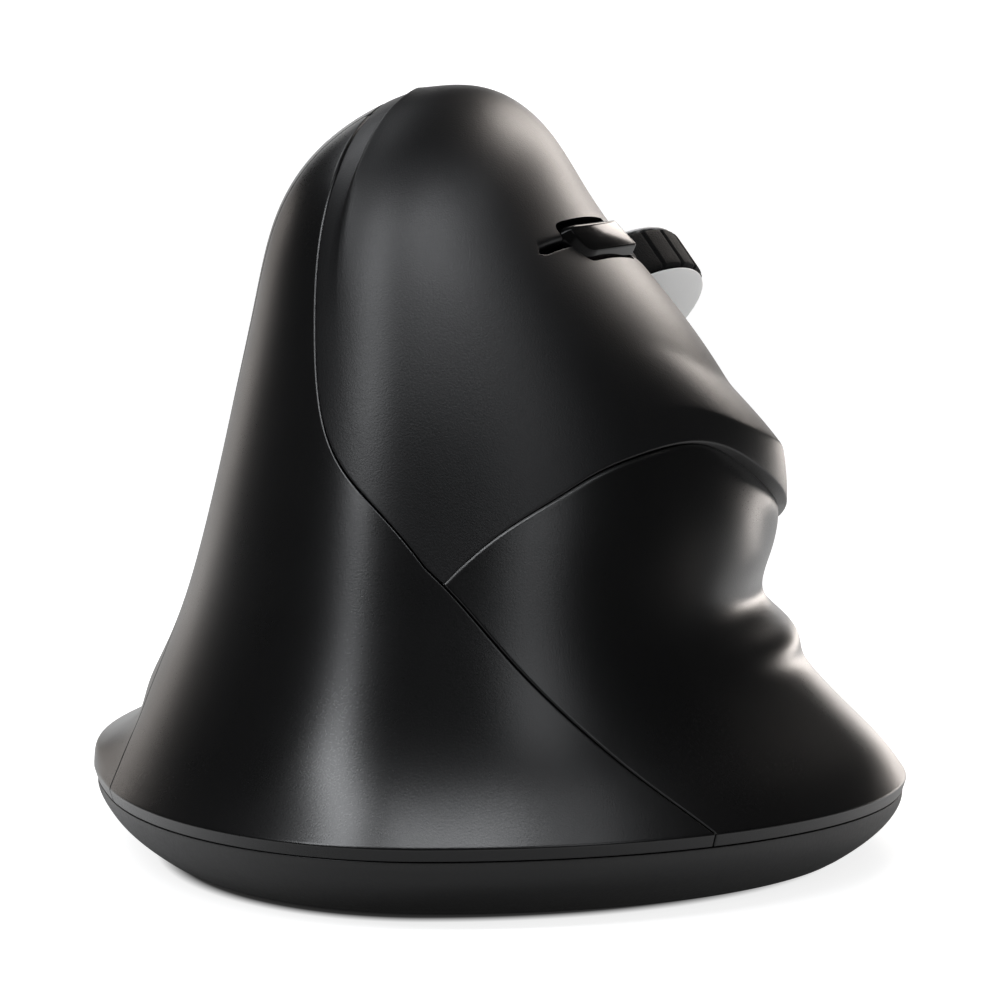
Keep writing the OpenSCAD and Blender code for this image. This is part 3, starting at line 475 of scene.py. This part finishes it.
def make_object(name, mesh):
    o = bpy.data.objects.new(name, mesh)
    bpy.context.scene.collection.objects.link(o)
    return o


def shell_mesh(name, p, n, wall=WALL, inward=None):
    """A closed shell: the outer grid, an inner one wall below it, and the walls between their edges."""
    rows, cols = p.shape[:2]
    count = rows * cols
    inner = p - wall * (n if inward is None else inward)
    loop = edge_loop(rows, cols)
    nxt = np.roll(loop, -1)
    walls = np.stack([loop, loop + count, nxt + count, nxt], -1)
    faces = np.concatenate([grid_faces(rows, cols), grid_faces(rows, cols, count, True), walls])
    return make_mesh(name, np.concatenate([p.reshape(-1, 3), inner.reshape(-1, 3)]), faces)


def set_normals(obj, sources, near=0.35, agree=0.55):
    """Custom normals from the exact ones: faces that agree with the nearest outer point take its normal."""
    mesh = obj.data
    pts = np.concatenate([s[0].reshape(-1, 3) for s in sources]) * 0.001
    nor = np.concatenate([s[1].reshape(-1, 3) for s in sources])
    tree = KDTree(len(pts))
    for i, p in enumerate(pts):
        tree.insert(p, i)
    tree.balance()
    found = {}
    for v in mesh.vertices:
        hits = tree.find_n(v.co, 3)
        if hits[0][2] < near * 0.001:
            w = np.array([1 / (h[2] + 1e-7) for h in hits])
            found[v.index] = Vector(unit((nor[[h[1] for h in hits]] * w[:, None]).sum(0)))
    out = [None] * len(mesh.loops)
    for f in mesh.polygons:
        for k in f.loop_indices:
            n = found.get(mesh.loops[k].vertex_index)
            out[k] = tuple(n) if n is not None and n.dot(f.normal) > agree else tuple(f.normal)
    mesh.normals_split_custom_set(out)


def cut(obj, *cutters):
    """Cuts solids out of a mesh, exactly."""
    for c in cutters:
        m = obj.modifiers.new("cut", "BOOLEAN")
        m.operation, m.object, m.solver = "DIFFERENCE", c, "EXACT"
    bpy.context.view_layer.update()
    result = obj.evaluated_get(bpy.context.evaluated_depsgraph_get())
    done = bpy.data.meshes.new_from_object(result)
    obj.modifiers.clear()
    old = obj.data
    obj.data = done
    bpy.data.meshes.remove(old)
    for c in cutters:
        mesh = c.data
        bpy.data.objects.remove(c)
        bpy.data.meshes.remove(mesh)
    return obj


# WORKING FRAMES of the wheel, the speed button and the thumb keys
def turn(axis, degrees):
    return Matrix.Rotation(math.radians(degrees), 4, axis)


def at(point, angles, roll=0.0):
    """A frame at a point, turned by these angles and then rolled about its own upright."""
    m = Matrix.Translation(Vector([float(x) for x in point]))
    return m @ turn("Z", angles[2]) @ turn("Y", angles[1]) @ turn("X", angles[0]) @ turn("Z", roll)


WHEEL_TURN, WHEEL_ROLL, WHEEL_SINK = (0, 59, 9), -29, 5.2
wheel_lean = turn("Z", WHEEL_TURN[2]) @ turn("Y", WHEEL_TURN[1])
wheel_out = np.array(wheel_lean.to_3x3() @ Vector((0, 0, 1)))
WHEEL = at(skin(112.0, 6.12) - WHEEL_SINK * wheel_out, WHEEL_TURN, WHEEL_ROLL)
SPEED = at(skin(64.5, 6.8), (0, 52, -18), -3)
THUMB = at(skin(-121.0, 4.65), (0, 79, 166))
# A thumb key's length and width, those of its opening, and its way from the middle of the two
KEY_SIZE, KEY_HOLE, KEY_OFF = (12.0, 5.6), (12.8, 6.4), 7.25


def moved(matrix, verts):
    """Points of a working frame, in the object's own frame."""
    m = np.array(matrix)
    return np.asarray(verts) @ m[:3, :3].T + m[:3, 3]


def block(name, matrix, x, y, z):
    v = [(i, j, k) for k in z for j in y for i in x]
    f = [(0, 2, 3, 1), (4, 5, 7, 6), (0, 1, 5, 4), (2, 6, 7, 3), (0, 4, 6, 2), (1, 3, 7, 5)]
    return make_object(name, make_mesh(name, moved(matrix, v), f, False))


def prism(name, matrix, outline, z):
    n = len(outline)
    v = [(x, y, z[0]) for x, y in outline] + [(x, y, z[1]) for x, y in outline]
    f = [list(range(n - 1, -1, -1)), list(range(n, 2 * n))]
    f += [(i, (i + 1) % n, n + (i + 1) % n, n + i) for i in range(n)]
    return make_object(name, make_mesh(name, moved(matrix, v), f, False))


def pill_outline(length, width, steps=20):
    """A slot shape with round ends, anticlockwise."""
    r, h = width / 2, (length - width) / 2
    t = np.linspace(0, np.pi, steps)
    top = [(r * math.cos(a), h + r * math.sin(a)) for a in t]
    return top + [(-x, -y) for x, y in top]


def wheel_slot():
    return block("slot", WHEEL, (-3.5, 3.5), (-11, 11), (-3, 9))


def round_outline(corners, radii, n=8):
    """A polygon with rounded corners, anticlockwise."""
    out = []
    c = np.asarray(corners, float)
    for i, r in enumerate(radii):
        a, b = unit(c[i - 1] - c[i]), unit(c[(i + 1) % len(c)] - c[i])
        half = math.acos(float(np.clip(a @ b, -1, 1))) / 2
        cut_at = r / math.tan(half)
        p, q = c[i] + a * cut_at, c[i] + b * cut_at
        for f in np.linspace(0, 1, n):
            out.append((1 - f) ** 2 * p + 2 * f * (1 - f) * c[i] + f * f * q)
    return np.array(out)


def speed_slot():
    corners = [(-2.6, -7.85), (2.35, -5.5), (2.35, 7.65), (-2.6, 5.45)]
    return prism("slot", SPEED, round_outline(corners, (1.2, 2.2, 0.4, 0.4)), (-5, 5))


def key_frame(side):
    return THUMB @ Matrix.Translation((0, side * KEY_OFF, 0))


# MATERIALS
def new_material(name):
    m = bpy.data.materials.new(name)
    m.use_nodes = True
    return m, m.node_tree.nodes, m.node_tree.links, m.node_tree.nodes["Principled BSDF"]


def moulded(name, color, rough, grain=2600.0, bump=0.05, vary=0.06, spec=0.5, tint=0.12):
    """A moulded plastic: fine grain in the bump and roughness, and faint broad variation in the colour."""
    m, nodes, links, bsdf = new_material(name)
    where = nodes.new("ShaderNodeTexCoord")
    fine = nodes.new("ShaderNodeTexNoise")
    fine.inputs["Scale"].default_value = grain
    fine.inputs["Detail"].default_value = 3
    fine.inputs["Roughness"].default_value = 0.6
    broad = nodes.new("ShaderNodeTexNoise")
    broad.inputs["Scale"].default_value = 70
    broad.inputs["Detail"].default_value = 5
    for t in (fine, broad):
        links.new(where.outputs["Object"], t.inputs["Vector"])
    tone = nodes.new("ShaderNodeValToRGB")
    for stop, position, k in zip(tone.color_ramp.elements, (0.3, 0.7), (1 - tint, 1 + tint)):
        stop.position = position
        stop.color = (*(c * k for c in color), 1)
    links.new(broad.outputs["Fac"], tone.inputs["Fac"])
    links.new(tone.outputs["Color"], bsdf.inputs["Base Color"])
    both = nodes.new("ShaderNodeMath")
    both.operation = "ADD"
    links.new(fine.outputs["Fac"], both.inputs[0])
    links.new(broad.outputs["Fac"], both.inputs[1])
    level = nodes.new("ShaderNodeMapRange")
    level.inputs["From Min"].default_value, level.inputs["From Max"].default_value = 0.6, 1.4
    level.inputs["To Min"].default_value = rough - vary
    level.inputs["To Max"].default_value = rough + vary
    links.new(both.outputs[0], level.inputs["Value"])
    links.new(level.outputs["Result"], bsdf.inputs["Roughness"])
    b = nodes.new("ShaderNodeBump")
    b.inputs["Strength"].default_value = bump
    b.inputs["Distance"].default_value = 0.0002
    links.new(fine.outputs["Fac"], b.inputs["Height"])
    links.new(b.outputs["Normal"], bsdf.inputs["Normal"])
    bsdf.inputs["Specular IOR Level"].default_value = spec
    return m


def metal(name, color, rough):
    """A drawn metal: streaks along one way in the roughness and the colour."""
    m, nodes, links, bsdf = new_material(name)
    where = nodes.new("ShaderNodeTexCoord")
    stretch = nodes.new("ShaderNodeMapping")
    stretch.inputs["Scale"].default_value = (1, 1, 30)
    n = nodes.new("ShaderNodeTexNoise")
    n.inputs["Scale"].default_value = 400
    n.inputs["Detail"].default_value = 4
    links.new(where.outputs["Object"], stretch.inputs["Vector"])
    links.new(stretch.outputs["Vector"], n.inputs["Vector"])
    level = nodes.new("ShaderNodeMapRange")
    level.inputs["To Min"].default_value = rough - 0.1
    level.inputs["To Max"].default_value = rough + 0.1
    links.new(n.outputs["Fac"], level.inputs["Value"])
    links.new(level.outputs["Result"], bsdf.inputs["Roughness"])
    tone = nodes.new("ShaderNodeValToRGB")
    tone.color_ramp.elements[0].color = (*(c * 0.85 for c in color), 1)
    tone.color_ramp.elements[1].color = (*color, 1)
    links.new(n.outputs["Fac"], tone.inputs["Fac"])
    links.new(tone.outputs["Color"], bsdf.inputs["Base Color"])
    bsdf.inputs["Metallic"].default_value = 1
    return m


def plastics(rows):
    return {name: moulded(name, *looks, **more) for name, *looks, more in rows}


MATERIALS = plastics((
    ("shell_black", (0.0014, 0.0014, 0.0016), 0.29, dict(grain=5200, bump=0.06, vary=0.03)),
    ("cover_black", (0.0014, 0.0014, 0.0018), 0.40, dict(grain=5200, bump=0.12, vary=0.04, spec=0.40)),
    ("base_black", (0.004, 0.004, 0.004), 0.44, dict(bump=0.12)),
    ("button_gloss", (0.003, 0.003, 0.003), 0.13, dict(grain=900, bump=0.004, vary=0.02, spec=0.11)),
    ("thumb_black", (0.014, 0.014, 0.015), 0.42, dict(grain=3000, bump=0.10)),
    ("wheel_rubber", (0.004, 0.004, 0.004), 0.68, dict(grain=5200, bump=0.6, vary=0.10, spec=0.12)),
    ("wheel_grey", (0.74, 0.74, 0.735), 0.45, dict(grain=2400, tint=0.04)),
    ("part_grey", (0.10, 0.10, 0.11), 0.50, {}),
    ("board_green", (0.02, 0.13, 0.05), 0.35, dict(grain=1500, bump=0.10, tint=0.25)),
    ("chip_black", (0.012, 0.012, 0.013), 0.55, dict(grain=4200, bump=0.2)),
    ("led_red", (0.42, 0.02, 0.015), 0.15, dict(bump=0.01)),
    ("frame_grey", (0.04, 0.04, 0.045), 0.55, dict(bump=0.12)),
    ("cell_wrap", (0.26, 0.19, 0.06), 0.25, dict(grain=600, bump=0.02, tint=0.2)),
    ("slider_grey", (0.36, 0.36, 0.36), 0.45, {}),
    ("receiver_black", (0.02, 0.02, 0.021), 0.45, {}),
    ("glide_black", (0.018, 0.018, 0.019), 0.22, dict(grain=1200, bump=0.03)),
    ("ribbon", (0.36, 0.19, 0.05), 0.35, dict(tint=0.2)),
))
MATERIALS["steel"] = metal("steel", (0.60, 0.60, 0.62), 0.32)


def lens_material():
    """A clear plastic with a little unevenness in its gloss."""
    m, nodes, links, bsdf = new_material("lens_clear")
    where = nodes.new("ShaderNodeTexCoord")
    n = nodes.new("ShaderNodeTexNoise")
    n.inputs["Scale"].default_value = 500
    links.new(where.outputs["Object"], n.inputs["Vector"])
    level = nodes.new("ShaderNodeMapRange")
    level.inputs["To Min"].default_value = 0.03
    level.inputs["To Max"].default_value = 0.12
    links.new(n.outputs["Fac"], level.inputs["Value"])
    links.new(level.outputs["Result"], bsdf.inputs["Roughness"])
    bsdf.inputs["Base Color"].default_value = (0.85, 0.88, 0.9, 1)
    bsdf.inputs["Transmission Weight"].default_value = 0.85
    return m


MATERIALS["lens_clear"] = lens_material()


def dress(obj, slot):
    """Gives a piece the slot's material."""
    obj.data.materials.clear()
    obj.data.materials.append(MATERIALS[slot])
    return obj


# Every CAD node, also those that later pieces replace
for name, node in frame["nodes"].items():
    slots = node.material_slots
    if not slots:
        node.data.materials.append(MATERIALS[record_slots[name]])
    for s in slots:
        s.material = MATERIALS[record_slots[name]]


# SHELLS
def finish_shell(name, mesh, sources, node, cutters=()):
    """Makes a shell's piece, with its openings cut and its exact normals set, in place of its node."""
    o = make_object(name, mesh)
    if cutters:
        cut(o, *cutters)
        o.data.shade_smooth()
    set_normals(o, sources)
    dress(o, "shell_black")
    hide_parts(node)
    return o


def plain_shell(name, places, node, top, cutters=(), out=0.0):
    p, n = rimmed(*places, out), facing(*places)
    q = rounded(p, n, left=EDGE_R, right=EDGE_R, bottom=FOOT_R, top=top)
    m = normals_of(q, n)
    return finish_shell(name, shell_mesh(name, q, n), [(q, m)], node, cutters)


palm = plain_shell("palm_skin", palm_places(), "palm_shell", EDGE_R)
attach(palm, "case")
# Near the lip the finger shell swells out towards it.
finger_at = finger_places()
up = finger_at[1] / finger_at[1][-1:]
swell = 1.2 * ramp(0.78, 1, up) * ramp(62, 98, finger_at[0]) * (1 - ramp(125, 168, finger_at[0]))
finger = plain_shell("finger_skin", finger_at, "finger_shell", LIP_R, out=swell)
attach(finger, "case")
keys = [prism("slot", key_frame(side), pill_outline(*KEY_HOLE), (-6, 5)) for side in (-1, 1)]
thumb = plain_shell("thumb_skin", thumb_places(), "thumb_shell", EDGE_R, keys)
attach(thumb, "case")

# The cover's two halves are one piece behind the hinge, and two tongues in front of it.
u, c1, lift1, c2, lip2 = cover_halves()
rear = int(np.searchsorted(u, HINGE)) + 1
n1, n2 = facing(*place(c1)), facing(*place(c2))
q1, q2 = skin(*place(c1)) + lift1[..., None] * n1, skin(*place(c2), lip2)
slit_r = np.where(u > HINGE, np.clip((u - HINGE) / 0.12, 0, 1), 0)[:, None]
r1 = rounded(q1, n1, left=EDGE_R, right=0.7 * slit_r, top=EDGE_R)
r2 = rounded(q2, n2, left=0.15 * slit_r, right=LIP_R, top=EDGE_R)
m1, m2 = normals_of(r1, n1), normals_of(r2, n2)
m1[:rear, -1] = m2[:rear, 0] = unit(m1[:rear, -1] + m2[:rear, 0])
sources = [(r1, m1), (r2, m2)]
whole = np.concatenate([r1[:rear, :-1], r2[:rear]], 1)
whole_n = np.concatenate([n1[:rear, :-1], n2[:rear]], 1)
cover = finish_shell("cover_skin", shell_mesh("cover_skin", whole, whole_n), sources, "button_cover")
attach(cover, "case")
tongue = slice(rear - 1, None)
index = finish_shell(
    "index_skin", shell_mesh("index_skin", r1[tongue], n1[tongue]), sources, "index_button",
    [wheel_slot(), speed_slot()])
middle = finish_shell(
    "middle_skin", shell_mesh("middle_skin", r2[tongue], n2[tongue]), sources, "middle_button",
    [wheel_slot(), speed_slot()])
for o in (cover, index, middle):
    o.data.materials[0] = MATERIALS["cover_black"]
# The tongues' placements are baked into their meshes.
for o, body in ((index, "index"), (middle, "middle")):
    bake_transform(o)


# BASE, WHEEL, SPEED BUTTON AND THUMB KEYS
def rings_mesh(name, matrix, rings, cap_low=True, cap_high=True, closed=False):
    """Rings of equal count, one after the other, with a face over each end or joined round."""
    rings = [np.asarray(r, float) for r in rings]
    n = len(rings[0])
    faces = []
    pairs = [(i, i + 1) for i in range(len(rings) - 1)] + ([(len(rings) - 1, 0)] if closed else [])
    for i, j in pairs:
        faces += [(i * n + k, i * n + (k + 1) % n, j * n + (k + 1) % n, j * n + k) for k in range(n)]
    if not closed and cap_low:
        faces.append(list(range(n - 1, -1, -1)))
    if not closed and cap_high:
        faces.append([(len(rings) - 1) * n + k for k in range(n)])
    verts = np.concatenate(rings)
    if matrix is not None:
        verts = moved(matrix, verts)
    return make_object(name, make_mesh(name, verts, faces))


def fit_piece(obj, slot, body, *nodes):
    """A finished piece: its slot, the nodes that it takes the place of, and its body."""
    dress(obj, slot)
    if nodes:
        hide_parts(*nodes)
    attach(obj, body)
    return obj


# The base: heights of its top edge and bottom, how far in the top is, and how much further the bottom
HULL_TOP, FOOT_Z, HULL_IN, HULL_PULL = 6.0, 0.6, 0.45, 5.2
around = np.linspace(0, 360, 361)[:-1]
rim_line = skin(around, 0 * around)


def hull_ring(inset, z):
    """The rim's outline, drawn in this much."""
    k = np.array([1 - inset / 40.5, 1 - inset / 58, 0])
    return rim_line * k + np.array([0, 0, z])


hull = [hull_ring(HULL_IN + d, HULL_TOP + h) for d, h in (
    (1.2, 0.22), (0.1, 0.22), (0.02, 0.22), (-0.02, 0.21), (-0.045, 0.19), (-0.05, 0.16), (-0.05, 0.1))]
for z in np.linspace(HULL_TOP, FOOT_Z + 0.3, 26):
    hull.append(hull_ring(HULL_IN - 0.05 + HULL_PULL * ((HULL_TOP - z) / (HULL_TOP - FOOT_Z)) ** 1.8, z))
hull_foot = HULL_IN + HULL_PULL
hull += [hull_ring(hull_foot + d, FOOT_Z + h) for d, h in ((-0.15, 0.1), (0.05, -0.02), (0.6, -0.02))]
fit_piece(rings_mesh("base_skin", None, hull, False, False), "base_black", "case")

# Tyre: how many pads, its radius, the depth of the grooves between them and the radius that they end at
TYRE_PADS, TYRE_R, GROOVE, GROOVE_FLOOR = 22, 10.5, 0.46, 9.98
pitch = 2 * math.pi * TYRE_R / TYRE_PADS
steps = np.array([0, 0.16, 0.22, 0.28, 0.34, 0.44, 0.75, 1.2])
steps = np.concatenate([steps, (pitch - steps[1:])[::-1]])
arc = (np.arange(TYRE_PADS)[:, None] * pitch + steps[None]).ravel()
off = np.minimum(arc % pitch, pitch - arc % pitch)
# Half of its section, as x and radius
half_tyre = [
    (2.48, 9.15), (2.48, 9.7), (2.42, 9.74), (2.34, 9.76), (2.29, 9.82), (2.25, 10.15), (2.21, 10.36),
    (2.13, 10.46), (1.98, 10.49), (1.2, 10.5), (0.4, 10.5),
]
profile = [(-x, r) for x, r in half_tyre] + half_tyre[::-1]
rings = []
for x, r in profile:
    deep = np.where(r > 10, GROOVE * (1 - ramp(0.18, 0.34, off)), 0)
    cut_r = np.maximum(r - deep, min(r, GROOVE_FLOOR))
    rings.append(np.stack([x + 0 * arc, cut_r * np.sin(arc / TYRE_R), cut_r * np.cos(arc / TYRE_R)], -1))
fit_piece(rings_mesh("tyre", WHEEL, rings[::-1], closed=True), "wheel_rubber", "wheel", "wheel_tyre")
# The grey disc inside it, with a flange on each side of the tyre
half_rim = [
    (2.95, 1.05), (2.95, 2.6), (2.93, 2.75), (2.88, 2.85), (2.86, 3), (2.86, 6), (2.86, 9.6), (2.85, 9.95),
    (2.82, 10.1), (2.75, 10.18), (2.66, 10.2), (2.58, 10.17), (2.53, 10.08), (2.52, 9.9), (2.52, 9.2),
    (2.3, 9.13),
]
profile = [(-x, r) for x, r in half_rim] + half_rim[::-1]
t = np.linspace(0, 2 * np.pi, 145)[:-1]
rings = [np.stack([x + 0 * t, r * np.sin(t), r * np.cos(t)], -1) for x, r in profile]
fit_piece(rings_mesh("wheel_disc", WHEEL, rings[::-1], closed=True), "wheel_grey", "wheel", "wheel_rim")


def inset_outline(o, d):
    """An anticlockwise outline, drawn in this much."""
    t = unit(np.roll(o, -1, 0) - np.roll(o, 1, 0))
    return o + d * np.stack([-t[:, 1], t[:, 0]], -1)


def button_rings(outline, steps, sag=lambda x, y: 0 * y):
    """Rings up a button: how far each is drawn in and how high it is, less the top's sag."""
    rings = []
    for inset, z in steps:
        o = inset_outline(outline, inset)
        drop = sag(o[:, 0], o[:, 1]) if z > -1.5 else 0 * o[:, 0]
        rings.append(np.stack([o[:, 0], o[:, 1], z - drop], -1))
    return rings


SPEED_HALF, SPEED_RISE = 7.25, 1.0
speed_corners = [(-2, -SPEED_HALF), (2, 2.05 - SPEED_HALF), (2, SPEED_HALF), (-2, SPEED_HALF - 1.9)]
speed_outline = round_outline(speed_corners, (1.3, 2.6, 0.7, 0.7))


def speed_sag(x, y):
    """The near end falls away, and the top is a little crowned."""
    in_from_end = (y + SPEED_HALF - 0.51 * (x + 2)) / 1.12
    return 1.3 * np.clip(1 - in_from_end / 5, 0, 1) ** 2 + 0.3 * (x / 2) ** 2


top = SPEED_RISE
steps = [
    (0, -3), (0, top - 0.78), (0.02, top - 0.74), (0.07, top - 0.69), (0.40, top - 0.13),
    (0.45, top - 0.06), (0.51, top - 0.02), (0.58, top), (0.66, top),
]
rings = button_rings(speed_outline, steps, speed_sag)
fit_piece(rings_mesh("speed_cap", SPEED, rings), "button_gloss", "speed", "speed_button")

key_outline = np.array(pill_outline(*KEY_SIZE, 24))
steps = [
    (0, -3.2), (0, -0.15), (0.04, 0.0), (0.13, 0.12), (0.27, 0.22), (0.5, 0.29), (0.85, 0.33),
    (1.4, 0.36), (2.0, 0.38),
]
for side, body in ((-1, "forward"), (1, "back")):
    key = rings_mesh(body + "_key", key_frame(side), button_rings(key_outline, steps))
    fit_piece(key, "thumb_black", body, body + "_button")


# CAMERA AND STUDIO, in metres
scene = bpy.context.scene
scene.view_settings.view_transform = "Standard"
TARGET = Vector((0, 0, 0.0343))
CAMERA_REACH, CAMERA_RISE = 0.7, math.radians(5.5)
eye = TARGET + CAMERA_REACH * Vector((0, -math.cos(CAMERA_RISE), math.sin(CAMERA_RISE)))
cam = bpy.data.cameras.new("camera")
cam.sensor_width = 36
cam.lens = 252
camera = bpy.data.objects.new("camera", cam)
camera.location = eye
camera.rotation_euler = (TARGET - eye).to_track_quat("-Z", "Y").to_euler()
scene.collection.objects.link(camera)
scene.camera = camera


def plane(name, centre, x, y, material):
    """A flat piece of the stage: its centre, and half of each side."""
    c, x, y = (Vector(v) * 1000 for v in (centre, x, y))
    corners = [c - x - y, c + x - y, c + x + y, c - x + y]
    o = make_object(name, make_mesh(name, [tuple(p) for p in corners], [(0, 1, 2, 3)], False))
    o.data.materials.append(material)
    return o


# The object's foot on the floor, round which the floor carries a painted shadow: x of its middle, and one
# over its reach to the right, the left and the rear
FOOT_MIDDLE, FOOT_RIGHT, FOOT_LEFT, FOOT_REAR = -0.007, 24.2, 36.4, 19.2


def seen_white(name, mirrored, lying=False):
    """A pale surface that is white to the camera, shows in reflections and still takes the shadow; lying as
    the floor, it also carries a painted shadow round the object's foot.
    """
    m, nodes, links, bsdf = new_material(name)
    m.cycles.emission_sampling = "NONE"
    bsdf.inputs["Base Color"].default_value = (0.4, 0.4, 0.4, 1)
    bsdf.inputs["Roughness"].default_value = 0.9
    bsdf.inputs["Specular IOR Level"].default_value = 0.0
    bsdf.inputs["Emission Color"].default_value = (1, 1, 1, 1)

    def math_node(kind, a, b):
        n = nodes.new("ShaderNodeMath")
        n.operation = kind
        for socket, v in zip(n.inputs, (a, b)):
            if isinstance(v, (int, float)):
                socket.default_value = v
            else:
                links.new(v, socket)
        return n.outputs[0]

    path = nodes.new("ShaderNodeLightPath")
    seen, shown = 1.0, mirrored
    if lying:
        # Painted shadow: round the object's foot the floor's glow is dimmed, nearly to black at the foot
        # itself, so the dark contact shadow there is partly painted by this material and partly cast by the
        # lamps.
        where, part = nodes.new("ShaderNodeTexCoord"), nodes.new("ShaderNodeSeparateXYZ")
        links.new(where.outputs["Object"], part.inputs[0])
        x = math_node("ADD", part.outputs["X"], -FOOT_MIDDLE)
        x = math_node("MAXIMUM", math_node("MULTIPLY", x, FOOT_RIGHT), math_node("MULTIPLY", x, -FOOT_LEFT))
        y = math_node("MULTIPLY", part.outputs["Y"], FOOT_REAR)
        square = math_node("ADD", math_node("MULTIPLY", x, x), math_node("MULTIPLY", y, y))
        far = math_node("SQRT", square, 0.0)

        def painted_shadow_ramp(stops):
            """Values at stops from 0.9 to 1.9 times the foot's reach: dark at the foot as a painted shadow,
            brighter further out.
            """
            span = nodes.new("ShaderNodeMapRange")
            span.inputs["From Min"].default_value, span.inputs["From Max"].default_value = 0.9, 1.9
            links.new(far, span.inputs["Value"])
            tone = nodes.new("ShaderNodeValToRGB")
            e = tone.color_ramp.elements
            e[0].position, e[1].position = stops[0][0], stops[-1][0]
            for k, (position, v) in enumerate(stops):
                if 0 < k < len(stops) - 1:
                    e.new(position)
                e[k].color = (v, v, v, 1)
            links.new(span.outputs["Result"], tone.inputs["Fac"])
            return tone.outputs["Color"]

        # Painted shadow in the glow that the camera sees, and painted shade in the floor's reflection on the
        # body: both dark at the foot.
        seen = painted_shadow_ramp(((0, 0.01), (0.04, 0.03), (0.1, 0.84), (0.45, 0.95), (1, 1.0)))
        shown = painted_shadow_ramp((
            (0, 0.03), (0.12, 0.06), (0.3, mirrored), (0.6, 2 * mirrored), (1, 3 * mirrored)))
    most = path.outputs["Is Camera Ray"]
    for ray in ("Is Transmission Ray", "Is Diffuse Ray"):
        most = math_node("MAXIMUM", most, path.outputs[ray])
    gloss = math_node("MULTIPLY", path.outputs["Is Glossy Ray"], shown)
    glow = math_node("ADD", math_node("MULTIPLY", most, seen), gloss)
    links.new(glow, bsdf.inputs["Emission Strength"])
    return m


plane("floor", (0, 0, -0.0002), (6, 0, 0), (0, 6, 0), seen_white("floor", 0.2, True))
plane("backdrop", (0, 1.55, 0.18), (0.40, 0, 0), (0, 0, 0.30), seen_white("backdrop", 1.0))

world = bpy.data.worlds.new("world")
scene.world = world
world.use_nodes = True
nodes, links = world.node_tree.nodes, world.node_tree.links
dim = nodes["Background"]
dim.inputs["Color"].default_value = (1, 1, 1, 1)
dim.inputs["Strength"].default_value = 0.004
pale = nodes.new("ShaderNodeBackground")
pale.inputs["Color"].default_value = (1, 1, 1, 1)
path, choose = nodes.new("ShaderNodeLightPath"), nodes.new("ShaderNodeMixShader")
clear = nodes.new("ShaderNodeMath")
clear.operation = "MAXIMUM"
links.new(path.outputs["Is Camera Ray"], clear.inputs[0])
links.new(path.outputs["Is Transmission Ray"], clear.inputs[1])
# Reflections show the white surroundings too, but faintly: the black body mirrors a dark studio.
faint = nodes.new("ShaderNodeMath")
faint.operation = "MULTIPLY_ADD"
faint.inputs[1].default_value = 0.03
links.new(path.outputs["Is Glossy Ray"], faint.inputs[0])
links.new(clear.outputs[0], faint.inputs[2])
links.new(faint.outputs[0], choose.inputs["Fac"])
links.new(dim.outputs["Background"], choose.inputs[1])
links.new(pale.outputs["Background"], choose.inputs[2])
links.new(choose.outputs["Shader"], nodes["World Output"].inputs["Surface"])


LAMP_AIM = Vector((0, 0, 0.045))


def softbox(name, azimuth, elevation, reach, size, level, color):
    """A lamp that faces the object: from which side, how far off, how large and how bright its face is."""
    d = bpy.data.lights.new(name, "AREA")
    d.shape = "RECTANGLE"
    d.size, d.size_y = size
    d.energy = level * math.pi * size[0] * size[1]
    d.color = color
    o = bpy.data.objects.new(name, d)
    a, e = math.radians(azimuth), math.radians(elevation)
    way = Vector((math.sin(a) * math.cos(e), -math.cos(a) * math.cos(e), math.sin(e)))
    o.location = LAMP_AIM + reach * way
    o.rotation_euler = (LAMP_AIM - o.location).to_track_quat("-Z", "Y").to_euler()
    o.visible_camera = False
    scene.collection.objects.link(o)


COOL, WARM = (0.95, 0.97, 1.0), (1.0, 0.92, 0.86)
# Azimuth and elevation in degrees (0 is the camera's side), then reach, size, brightness and colour
softbox("key", -69, 46, 0.5, (0.13, 0.30), 9.5, COOL)
softbox("bevel", -146, 40, 0.5, (0.20, 0.09), 3.0, COOL)
softbox("top", -1, 66, 0.26, (0.17, 0.05), 11.0, COOL)
softbox("side", 44, 37, 0.5, (0.15, 0.16), 2.4, COOL)
softbox("right_top", 68, 62, 0.5, (0.13, 0.12), 2.6, COOL)
softbox("crest", 149, 34, 0.18, (0.05, 0.12), 8.5, WARM)
softbox("back_right", 154, -3, 0.5, (0.22, 0.05), 4.6, WARM)
softbox("back_left", -153, 3, 0.5, (0.09, 0.14), 0.85, WARM)
softbox("low_right", 98, 1, 0.5, (0.20, 0.05), 0.5, WARM)
